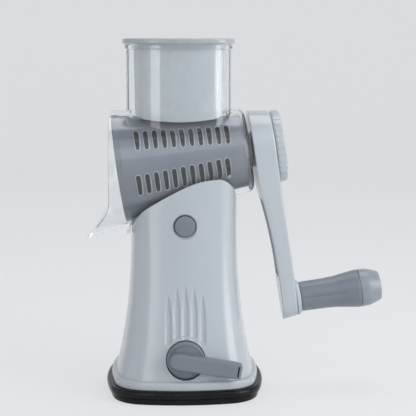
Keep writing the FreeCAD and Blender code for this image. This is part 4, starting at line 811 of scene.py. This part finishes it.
def draw_lever():
    """Dial, and the bar across it with a round tail and a square-cut tip."""
    dial = turned(
        "lever_dial",
        [(0, 45.4), (14.6, 45.4, 0.4), (14.6, 51.6, 1.0), (11.6, 51.6), (11.6, 54.2), (0, 54.2)],
        segments=96,
    )
    outline = []
    tip, half, corner = 43.5, 6.2, 1.8
    centre, run_end = -6.4, 41.9
    for step in range(25):
        angle = math.pi / 2 + math.pi * step / 24
        outline.append(Vector((centre + half * math.cos(angle), half * math.sin(angle), 0)))
    for step in range(1, 16):
        outline.append(Vector((centre + (run_end - centre) * step / 16, -half, 0)))
    for start, sign in ((-math.pi / 2, -1), (0.0, 1)):
        middle = Vector((tip - corner, sign * (half - 0.3 - corner), 0))
        for step in range(7):
            angle = start + math.pi / 2 * step / 6
            outline.append(middle + Vector((math.cos(angle), math.sin(angle), 0)) * corner)
    for step in range(1, 16):
        outline.append(Vector((run_end - (run_end - centre) * step / 16, half, 0)))
    bar = stamped(
        "lever_bar",
        outline,
        [(1.0, 53.6), (0.0, 53.6, 0.6), (0.0, 61.4, 2.3), (3.2, 61.4)],
    )
    return settle(joined("suction_lever_bar", dial, bar), LEVER, crease=40)


finished(draw_lever(), "lever", HANDLE_GREY, "grey_plastic", "suction_lever")


# ---------------------------------------------------------------- hopper and pusher
def tube_outline():
    """The feed tube's oval: bowed sides and well rounded corners."""
    oval = bowed_square(41.5, 32.0, 0.0, (40, 24, 18), bow=2.25, round_off=0.56)
    return [point + Vector((TUBE_X, 0, 0)) for point in oval]


def draw_hopper():
    """Chamber, feed tube, foot and tab in one clear moulding."""
    end, front = CHAMBER_END, -95.0

    def radius(s, inset=0.0):
        return CHAMBER_RADIUS - inset - s * TAPER

    shell = turned(
        "hopper_moulding",
        [(0, front), (radius(front), front), (radius(end), end, 5.4), (0, end)],
        segments=192,
    )
    shell.data.transform(DRUM)
    outline = tube_outline()
    levels = soften(
        [
            (4.0, AXIS_HEIGHT),
            (0, AXIS_HEIGHT),
            (0, 271.5, 0.5),
            (-1.2, 272.0, 0.6),
            (-1.2, 275.5, 1.2),
            (4.0, 275.5),
        ],
        steps=4,
    )
    tube = through_rings("tube", [drawn_in(outline, inset, z) for inset, z in levels])
    carve(shell, tube, "UNION")
    foot = stamped(
        "foot",
        rounded_box_outline(15, 8, 1.2),
        [(1.5, 122.0), (0, 122.0, 0.8), (0, 158.0), (1.5, 158.0)],
    )
    carve(shell, foot, "UNION")
    tab_outline = rounded_box_outline(1.4, 19, 1.2, -43.9)
    tab = stamped("tab", tab_outline, [(0.6, 127.7), (0, 127.7, 0.5), (0, 142.0), (0.6, 142.0)])
    carve(shell, tab, "UNION")
    wall = CHAMBER_WALL
    hollow = turned(
        "hollow",
        [
            (0, front - 2),
            (radius(front - 2, wall), front - 2),
            (radius(end - wall, wall), end - wall, 3.0),
            (0, end - wall),
        ],
        segments=192,
    )
    hollow.data.transform(DRUM)
    bore = drawn_in(outline, 3.0, 0)
    levels = soften(
        [
            (2.0, AXIS_HEIGHT),
            (0, AXIS_HEIGHT),
            (0, 274.7, 0.3),
            (-0.9, 276.1),
            (-0.9, 281),
            (2.0, 281),
        ],
        steps=3,
    )
    tube_hollow = through_rings("tube_hollow", [drawn_in(bore, inset, z) for inset, z in levels])
    carve(hollow, tube_hollow, "UNION")
    carve(shell, hollow)
    carve(shell, spout_tool())
    hole = turned("bearing_hole", [(0, 40), (11.5, 40), (11.5, 70), (0, 70)], segments=72)
    hole.data.transform(DRUM)
    carve(shell, hole)
    return settle(shell, crease=30)


def spout_tool():
    """What lies beyond the spout's curved edge."""
    x, z = -58.3, 157.0
    bend, turned_by = 25.0, math.radians(36)
    line = [(x, 260.0)]
    for step in range(19):
        angle = turned_by * step / 18
        line.append((x - bend * (1 - math.cos(angle)), z - bend * math.sin(angle)))
    last_x, last_z = line[-1]
    line.append((last_x - (last_z - 112.0) * math.tan(turned_by), 112.0))
    line += [(-140.0, 112.0), (-140.0, 260.0)]
    rings = [[Vector((px, y, pz)) for px, pz in line] for y in (-80.0, 80.0)]
    return through_rings("spout_tool", rings)


finished(draw_hopper(), "hopper", CLEAR, "clear_plastic", "hopper_body")


def draw_pusher():
    """Cup with a rounded flange, and a sole hollowed to follow the drum."""
    tube = tube_outline()

    def outline(inset):
        return drawn_in(tube, 5.2 + inset, 0)

    def sole(point):
        return max(PUSHER_SOLE, 168.0 + math.sqrt(max(0.0, 54.0**2 - point.y**2)))

    rings = [[Vector((TUBE_X, 0, 222.0))]]
    draft = math.tan(math.radians(1.0))
    low = outline((PUSHER_SEAT - PUSHER_SOLE) * draft)
    centre = Vector((TUBE_X, 0, 0))
    for share in (0.1, 0.3, 0.5, 0.7, 0.85, 0.95, 0.985):
        ring = [centre.lerp(p, share) for p in low]
        rings.append([Vector((p.x, p.y, sole(p))) for p in ring])
    for rise in (1.2, 6.0, 14.0, 30.0, 45.0):
        ring = []
        for n in range(len(low)):
            height = sole(low[n]) + rise
            ring.append(outline((PUSHER_SEAT - height) * draft)[n] + Vector((0, 0, height)))
        rings.append(ring)
    rings.append([p + Vector((0, 0, PUSHER_SEAT)) for p in outline(0.0)])
    flange = drawn_in(tube, -2.9, 0)
    levels = soften(
        [(7.0, PUSHER_SEAT), (0, PUSHER_SEAT, 0.7), (0, PUSHER_TOP, 1.2), (8.0, PUSHER_TOP)],
        steps=5,
    )
    rings += [drawn_in(flange, inset, z) for inset, z in levels[1:-1]]
    cup_floor = 229.8
    inside = ((1.4, PUSHER_TOP), (2.1, 279.5), (2.4, 278.6), (3.3, 230.9), (4.4, cup_floor))
    for inset, height in inside:
        rings.append([p + Vector((0, 0, height)) for p in outline(inset)])
    rings.append([Vector((TUBE_X, 0, cup_floor))])
    return settle(through_rings("pusher_cup", rings), crease=35)


finished(draw_pusher(), "pusher", MILKY, "milky_plastic", "food_pusher")


# ---------------------------------------------------------------- drum
def drum_radius(s, inset=0.0):
    """Radius of the sheet at a place along the axis."""
    return DRUM_RADIUS - inset - s * TAPER


TEETH = {
    "Rows": 7,
    "In a Row": 11,
    "Pitch": 6.95,
    "Middle": -2.1,
    "Stagger": 2.8,
    "Radius": DRUM_RADIUS,
    "Taper Angle": TAPER_ANGLE,
    "First Angle": math.radians(-16.0),
}
SLOT_TOP, SLOT_TAIL = -7.4, 8.8
SLOT_HALF, TAIL_HALF = 1.85, 1.55
SHEET_THICKNESS = 1.0


def slot_outline(grow=0.0):
    """Outline (down, across) of a slot: round at both ends, straight to its middle, and narrower
    from there to the lower end."""
    top, tail, middle = SLOT_TOP + SLOT_HALF, SLOT_TAIL - TAIL_HALF, 0.2
    points = []

    def round_end(centre, radius, start):
        for step in range(11):
            angle = start + math.pi * step / 10
            reach = radius + grow
            points.append((centre + reach * math.cos(angle), reach * math.sin(angle)))

    round_end(top, SLOT_HALF, math.pi / 2)
    points += [(top + 0.25 * k * (middle - top), -SLOT_HALF - grow) for k in range(1, 5)]
    round_end(tail, TAIL_HALF, 1.5 * math.pi)
    points += [(middle - 0.25 * k * (middle - top), SLOT_HALF + grow) for k in range(0, 4)]
    return points


def bend(x):
    """How far the round sheet falls away from a tooth's own flat plane."""
    return x * x / (2 * DRUM_RADIUS - 6)


def draw_tongue():
    """The metal under a tooth's open end, turned inwards as a ramp."""
    rings = []
    for step in range(7):
        x = SLOT_TOP - 0.7 + 1.35 * step
        depth = bend(x) + 0.75 + 0.42 * step
        half = SLOT_HALF + 0.3 - 0.05 * step
        corners = ((depth, -half), (depth, half), (depth + 0.5, half), (depth + 0.5, -half))
        rings.append([Vector((x, y, z)) for y, z in corners])
    return through_rings("drum_tongues", rings)


def draw_hood():
    """The raised rim of a tooth: low round the open end, rising to a scoop towards the tail."""
    low_rise, scoop, sunk, half_lip, corners = 0.55, 0.95, 0.3, 0.42, 10
    middle_line = slot_outline(0.32)
    count = len(middle_line)
    rings = []
    for n, (x, z) in enumerate(middle_line):
        before, after = middle_line[n - 1], middle_line[(n + 1) % count]
        run = Vector((after[0] - before[0], 0, after[1] - before[1])).normalized()
        outward = Vector((run.z, 0, -run.x))
        share = (x - SLOT_TOP) / (SLOT_TAIL - SLOT_TOP)
        along_scoop = min(1.0, max(0.0, share - 0.2) / 0.8)
        rise = low_rise + scoop * max(0.0, math.sin(math.pi * along_scoop)) ** 1.4
        ring = []
        for corner in range(corners):
            turn = 2 * math.pi * corner / corners
            over, under = max(0.0, math.sin(turn)), max(0.0, -math.sin(turn))
            depth = bend(x) + sunk - (rise + sunk) * over + 0.5 * under
            ring.append(Vector((x, depth, z)) + outward * half_lip * math.cos(turn))
        rings.append(ring)
    return through_rings("drum_teeth", rings, closed=True)


def draw_slot():
    """What is cut out of the sheet for a tooth."""
    rings = [[Vector((x, y, z)) for x, z in slot_outline()] for y in (-3.0, 3.2)]
    return through_rings("slots", rings)


def draw_drum():
    """Conical sheet with its slots cut through, and the numbers of its inner faces, which take the
    near-black painted shade.
    """
    front, back = DRUM_FRONT, DRUM_BACK
    sheet = turned(
        "drum_sheet",
        [
            (drum_radius(front, SHEET_THICKNESS), front),
            (drum_radius(front), front),
            (drum_radius(back), back),
            (drum_radius(back, SHEET_THICKNESS), back),
        ],
        closed=True,
        segments=180,
    )
    carve(sheet, set_out(draw_slot(), DRUM_METAL, TEETH))
    painted_shade_faces = [
        face.index
        for face in sheet.data.polygons
        if math.hypot(face.center.x, face.center.y) < drum_radius(face.center.z, 0.9)
    ]
    return settle(sheet, DRUM, crease=30), painted_shade_faces


drum, inside = draw_drum()
finished(drum, "rotor", DRUM_METAL, "drum_steel", "shred_drum")
# The inner faces get the near-black painted shade in place of the steel's own colour.
drum.data.materials.append(DRUM_INSIDE_PAINTED_SHADE)
for face_index in inside:
    drum.data.polygons[face_index].material_index = 1
# The teeth wear the lighter steel, whose brightness is a painted highlight.
teeth = set_out(draw_hood(), TOOTH_METAL_PAINTED_HIGHLIGHT, TEETH)
finished(settle(teeth, DRUM, crease=50), "rotor", TOOTH_METAL_PAINTED_HIGHLIGHT, "drum_steel")
# The tongues under the slots' open ends carry the same near-black painted shade, so each slot
# shows dark.
tongues = set_out(draw_tongue(), DRUM_INSIDE_PAINTED_SHADE, TEETH)
finished(settle(tongues, DRUM, crease=30), "rotor", DRUM_INSIDE_PAINTED_SHADE, "drum_steel")

ring_front = DRUM_FRONT - 4.8
mouth_ring = turned(
    "mouth_ring",
    [
        (36.4, ring_front, 0.5),
        (42.4, ring_front, 1.0),
        (42.4, DRUM_FRONT, 0.3),
        (40.1, DRUM_FRONT),
        (39.6, DRUM_FRONT + 4.5, 0.3),
        (38.0, DRUM_FRONT + 4.5, 0.3),
    ],
    closed=True,
    segments=128,
)
finished(settle(mouth_ring, DRUM, 40), "rotor", DRUM_GREY, "drum_plastic", "drum_mouth_ring")

# ---------------------------------------------------------------- crank arm and knob
ARM_INNER, ARM_WAIST, ARM_OUTER, HUB_OUTER = 54.6, 61.2, 73.5, 71.9
HUB_RADIUS, END_RADIUS = 31.2, 17.0


def arm_outline():
    """Hub circle, end circle and the straight sides that touch both, counter-clockwise."""
    end_steps, hub_steps, side_steps = 28, 44, 22
    tangent = math.pi / 2 - math.asin((HUB_RADIUS - END_RADIUS) / CRANK_RADIUS)
    pin = Vector((CRANK_RADIUS, 0, 0))
    end, hub = [], []
    for step in range(end_steps + 1):
        angle = -tangent + 2 * tangent * step / end_steps
        end.append(pin + Vector((math.cos(angle), math.sin(angle), 0)) * END_RADIUS)
    for step in range(hub_steps + 1):
        angle = tangent + (2 * math.pi - 2 * tangent) * step / hub_steps
        hub.append(Vector((math.cos(angle), math.sin(angle), 0)) * HUB_RADIUS)
    one_side = [end[-1].lerp(hub[0], k / side_steps) for k in range(1, side_steps)]
    other_side = [hub[-1].lerp(end[0], k / side_steps) for k in range(1, side_steps)]
    return end + one_side + hub + other_side


def arm_inner_face(v):
    """Place of the arm's inner face along the axis, at a distance from the hub."""
    share = min(1.0, max(0.0, (v - 28) / 68))
    return ARM_INNER + (ARM_WAIST - ARM_INNER) * (1 - (1 - share) ** 1.8)


def arm_outer_face(v):
    """Place of the outer face: lower at the hub, where the knob sits, with a soft rise."""
    share = min(1.0, max(0.0, (v - 33.2) / 70.8))
    return HUB_OUTER + (ARM_OUTER - HUB_OUTER) * share * share * (3 - 2 * share)


def draw_arm():
    """Drafted arm with a soft outer edge, and a recess in its inner side."""
    outline = arm_outline()
    spine = [Vector((min(max(p.x, 0.0), CRANK_RADIUS), 0, 0)) for p in outline]
    inwards = [edge - point for point, edge in zip(outline, drawn_in(outline, 1.0, 0))]

    def wall(inset, share, drop=0.0):
        """A ring up the drafted wall, at a share of the way to the outer face."""
        ring = []
        for point, inward in zip(outline, inwards):
            low, high = arm_inner_face(point.x), arm_outer_face(point.x) - drop
            s = low + (high - low) * share
            spot = point + inward * (inset + (s - ARM_INNER) * TAPER)
            ring.append(Vector((spot.x, spot.y, s)))
        return ring

    def across(rim, share, face):
        """A ring on a face, at a share of the way from a rim to the arm's middle line."""
        ring = []
        for point, middle in zip(rim, spine):
            spot = point.lerp(middle, share)
            ring.append(Vector((spot.x, spot.y, face(spot.x))))
        return ring

    rings = [across(outline, share, arm_inner_face) for share in (0.97, 0.6, 0.25, 0.06)]
    rings += [wall(0.9, 0.0), wall(0.35, 0.012), wall(0.08, 0.03), wall(0.0, 0.06)]
    rings += [wall(0.0, 0.5), wall(0.0, 0.86)]
    edge = ((0.0, 1.6), (0.08, 1.05), (0.32, 0.5), (0.75, 0.14), (1.3, 0.0))
    rings += [wall(inset, 1.0, drop) for inset, drop in edge]
    rings += [across(rings[-1], share, arm_outer_face) for share in (0.12, 0.3, 0.6, 0.97)]
    arm = through_rings("arm_moulding", rings)
    recess = stamped(
        "recess", recess_outline(), [(2.0, 50.0), (0.0, 50.0), (0.0, 66.0, 1.2), (3.0, 66.0)]
    )
    carve(arm, recess)
    return settle(arm, DRUM, crease=35)


def recess_outline():
    corners = [(40.0, -17.9, 3), (104.0, -12.4, 3), (104.0, 12.4, 3), (40.0, 17.9, 3)]
    return [Vector((x, y, 0)) for x, y in soften(corners, closed=True, steps=6)]


finished(draw_arm(), "rotor", GLOSS_WHITE, "white_shell", "crank_arm")


def draw_knob():
    """Shallow dished disc with ribs round its rim."""
    start = HUB_OUTER + 0.3
    end = start + 7.2
    disc = turned(
        "knob_disc",
        [
            (0, start),
            (27.4, start, 0.5),
            (28.2, start + 1.2, 0.6),
            (27.4, end, 1.3),
            (22.4, end, 0.5),
            (21.2, end - 1.4, 0.6),
            (6.0, end - 1.5, 2),
            (0, end - 1.2),
        ],
        segments=128,
    )
    rib = stamped(
        "knob_rib",
        rounded_box_outline(0.95, 0.7, 0.55, arc_steps=3),
        [(0.5, 1.0), (0.0, 1.2, 0.4), (0.0, 6.4, 0.6), (0.5, 6.6)],
    )
    rim_taper = math.radians(7.3)
    round_the_rim = {
        "Rows": 34,
        "In a Row": 1,
        "Middle": start,
        "Radius": 28.3 + start * math.tan(rim_taper),
        "Taper Angle": rim_taper,
    }
    ribs = set_out(rib, GLOSS_WHITE, round_the_rim)
    return settle(joined("lock_knob_ribbed", disc, ribs), DRUM, crease=40)


finished(draw_knob(), "knob", GLOSS_WHITE, "white_shell", "lock_knob")


# ---------------------------------------------------------------- grip
GRIP_START = 77.4
GRIP_LENGTH = 48.0
GRIP_BORE = 3.58
GROOVE_DEPTH, GROOVE_HALF = 0.9, 1.25


def groove_at(radius, height, angle):
    """Shallow lengthwise grooves, a quarter turn apart, in the grip's slim part."""
    first, last = GRIP_START + 3.4, GRIP_START + 37.0
    if not first < height < last or radius < 10:
        return radius
    fade = min(1.0, (height - first) / 2.0, (last - height) / 4.0)
    quarter = math.pi / 2
    nearest = abs((angle / quarter + 0.5) % 1 - 0.5) * quarter * radius
    return radius - GROOVE_DEPTH * fade * max(0.0, 1 - (nearest / GROOVE_HALF) ** 2)


def even_steps(corners):
    """Adds points on long runs, so that a shape along them can change."""
    longest = 2.5
    result = [corners[0]]
    for first, last in zip(corners, corners[1:]):
        length = math.hypot(last[0] - first[0], last[1] - first[1])
        parts = max(1, math.ceil(length / longest))
        for k in range(1, parts + 1):
            share = k / parts
            result.append(tuple(a + (b - a) * share for a, b in zip(first[:2], last[:2])))
    return result


def draw_grip():
    start, end = GRIP_START, GRIP_START + GRIP_LENGTH
    body_line = [(GRIP_BORE, start), (11.4, start), (11.9, start + 0.5)]
    shape = ((10, 12.0), (20, 12.15), (28, 12.6), (36, 13.8), (42, 14.7), (46, 15.15))
    body_line += [(radius, start + along) for along, radius in shape]
    body_line += [(15.2, end - 0.6), (14.9, end), (GRIP_BORE, end)]
    profile = even_steps(body_line)
    grip = turned("grip_moulding", profile, closed=True, segments=160, radius_at=groove_at)
    return settle(grip, CRANK_PIN, crease=40)


finished(draw_grip(), "grip", HANDLE_GREY, "grey_plastic", "handle_grip")

cap_start = GRIP_START + GRIP_LENGTH
grip_cap = turned(
    "grip_cap_dome",
    [
        (0, cap_start + 6),
        (6.7, cap_start + 6),
        (6.7, cap_start),
        (14.2, cap_start),
        (14.2, cap_start + 0.5),
        (15.2, cap_start + 0.5, 0.3),
        (14.95, cap_start + 7.0, 14),
        (12.4, cap_start + 14.2, 4),
        (11.4, cap_start + 16.6, 1.4),
        (10.0, cap_start + 17.0, 0.8),
        (0, cap_start + 17.0),
    ],
    segments=96,
)
finished(settle(grip_cap, CRANK_PIN, 40), "grip", CAP_GREY, "grip_cap_plastic", "grip_end_cap")

washer_start = ARM_OUTER + 0.1
washer = turned(
    "stepped_washer",
    [
        (3.5, washer_start),
        (14.4, washer_start, 0.4),
        (14.4, washer_start + 1.7, 0.4),
        (13.3, washer_start + 1.7, 0.2),
        (13.1, washer_start + 3.4, 0.5),
        (3.5, washer_start + 3.4),
    ],
    closed=True,
    segments=96,
)
finished(settle(washer, CRANK_PIN, 40), "rotor", GLOSS_WHITE, "white_shell", "grip_washer")

# ---------------------------------------------------------------- carried-over nodes
CARRIED = {
    "base_plate": INNER_GREY,
    "latch_frame": INNER_GREY,
    "cam_shaft": INNER_GREY,
    "suction_stem": INNER_GREY,
    "pad_insert": INNER_GREY,
    "hub_bearing": BEARING_WHITE,
    "drum_end_cap": DRUM_GREY,
    "drive_shaft": HANDLE_GREY,
    "lock_bolt": BRIGHT_METAL,
    "grip_spindle": BRIGHT_METAL,
    "grip_screw": BRIGHT_METAL,
    "base_screws": BRIGHT_METAL,
    "cam_clip": BRIGHT_METAL,
}
for node_name, material in CARRIED.items():
    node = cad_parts[node_name]
    for slot_of_node in node.material_slots:
        slot_of_node.material = material

# ---------------------------------------------------------------- latch spring, in metres
spring = bpy.data.objects.new("latch_spring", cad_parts["button_spring"].data.copy())
scene.collection.objects.link(spring)
tidy(spring, 1e-7)
finished(spring, "stand", BRIGHT_METAL, "steel", "button_spring")
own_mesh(spring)

# ---------------------------------------------------------------- floor, lights, camera
def pale_floor():
    """Pale paint that lights its surroundings as paint does, and looks even to the eye and in
    reflections: part of what is seen there is a glow of its own."""
    material, tree, shader, _ = blank_material("pale_floor")
    shader.inputs["Base Color"].default_value = (0.80, 0.81, 0.83, 1)
    shader.inputs["Roughness"].default_value = 0.55
    glow = add_node(tree, "ShaderNodeEmission")
    glow.inputs["Color"].default_value = (0.96, 0.98, 1.0, 1)
    glow.inputs["Strength"].default_value = 0.63
    paint = add_node(tree, "ShaderNodeBsdfDiffuse")
    paint.inputs["Color"].default_value = (0.24, 0.243, 0.249, 1)
    glowing_paint = add_node(tree, "ShaderNodeAddShader")
    tree.links.new(paint.outputs[0], glowing_paint.inputs[0])
    tree.links.new(glow.outputs[0], glowing_paint.inputs[1])
    path = add_node(tree, "ShaderNodeLightPath").outputs
    mirrored = maths(tree, "ADD", path["Is Glossy Ray"], path["Is Transmission Ray"])
    seen = maths(tree, "ADD", path["Is Camera Ray"], mirrored)
    shown_as(tree, maths(tree, "MINIMUM", seen, 1.0), shader, glowing_paint)
    return material


FLAT_RADIUS, SWEEP_RADIUS, WALL_HEIGHT = 1.7, 0.7, 2.6
sweep = [(0.0, 0.0), (0.8, 0.0), (FLAT_RADIUS, 0.0)]
for step in range(1, 13):
    angle = math.pi / 2 * step / 12
    reach = FLAT_RADIUS + SWEEP_RADIUS * math.sin(angle)
    sweep.append((reach, SWEEP_RADIUS - SWEEP_RADIUS * math.cos(angle)))
sweep.append((FLAT_RADIUS + SWEEP_RADIUS, WALL_HEIGHT))
around = 72
corner_angles = [2 * math.pi * n / around for n in range(around)]
floor_points = [
    Vector((reach * math.cos(angle), reach * math.sin(angle), z))
    for reach, z in sweep
    for angle in corner_angles
]
floor_faces = []
for row in range(len(sweep) - 1):
    low, high = around * row, around * (row + 1)
    for n in range(around):
        after = (n + 1) % around
        floor_faces.append((low + n, low + after, high + after, high + n))
floor = tidy(new_piece("studio_floor", floor_points, floor_faces), 1e-5)
floor.data.shade_smooth()
floor.data.materials.append(pale_floor())


def softbox(name, place, target, size, power):
    lamp = bpy.data.lights.new(name, "AREA")
    lamp.shape = "RECTANGLE"
    lamp.size, lamp.size_y = size
    lamp.energy = power
    holder = bpy.data.objects.new(name, lamp)
    scene.collection.objects.link(holder)
    holder.location = place
    aim = Vector(target) - Vector(place)
    holder.rotation_euler = aim.to_track_quat("-Z", "Y").to_euler()
    return holder


MIDDLE = (0.02, 0, 0.14)
softbox("right_soft", (1.1, -0.6, 0.52), MIDDLE, (0.8, 0.9), 7.8)
softbox("left_soft", (-1.15, -0.2, 0.5), MIDDLE, (0.9, 1.1), 1.1)
softbox("left_strip", (-0.5, -1.15, 0.4), MIDDLE, (0.22, 1.0), 1.4)
softbox("front_soft", (0.35, -1.2, 1.35), MIDDLE, (2.0, 1.3), 5.6)
softbox("top_soft", (0.1, 0.25, 1.25), MIDDLE, (0.8, 0.7), 3.6)
world = bpy.data.worlds.new("studio")
world.use_nodes = True
world.node_tree.nodes["Background"].inputs[0].default_value = (0.88, 0.9, 0.94, 1)
world.node_tree.nodes["Background"].inputs[1].default_value = 0.28
scene.world = world
scene.view_settings.view_transform = "Standard"

PICTURE_WIDTH, FOCAL_LENGTH = 416, 1250  # both in pixels
camera_data = bpy.data.cameras.new("camera")
camera_data.sensor_width = 36
camera_data.lens = camera_data.sensor_width * FOCAL_LENGTH / PICTURE_WIDTH
camera_data.clip_start = 0.01
camera = bpy.data.objects.new("camera", camera_data)
scene.collection.objects.link(camera)
camera.location = (-0.0189, -0.9905, 0.2777)
looks_down, turned_right = math.radians(7.6), math.radians(2.2)
camera.rotation_euler = (math.pi / 2 - looks_down, 0, -turned_right)
scene.camera = camera
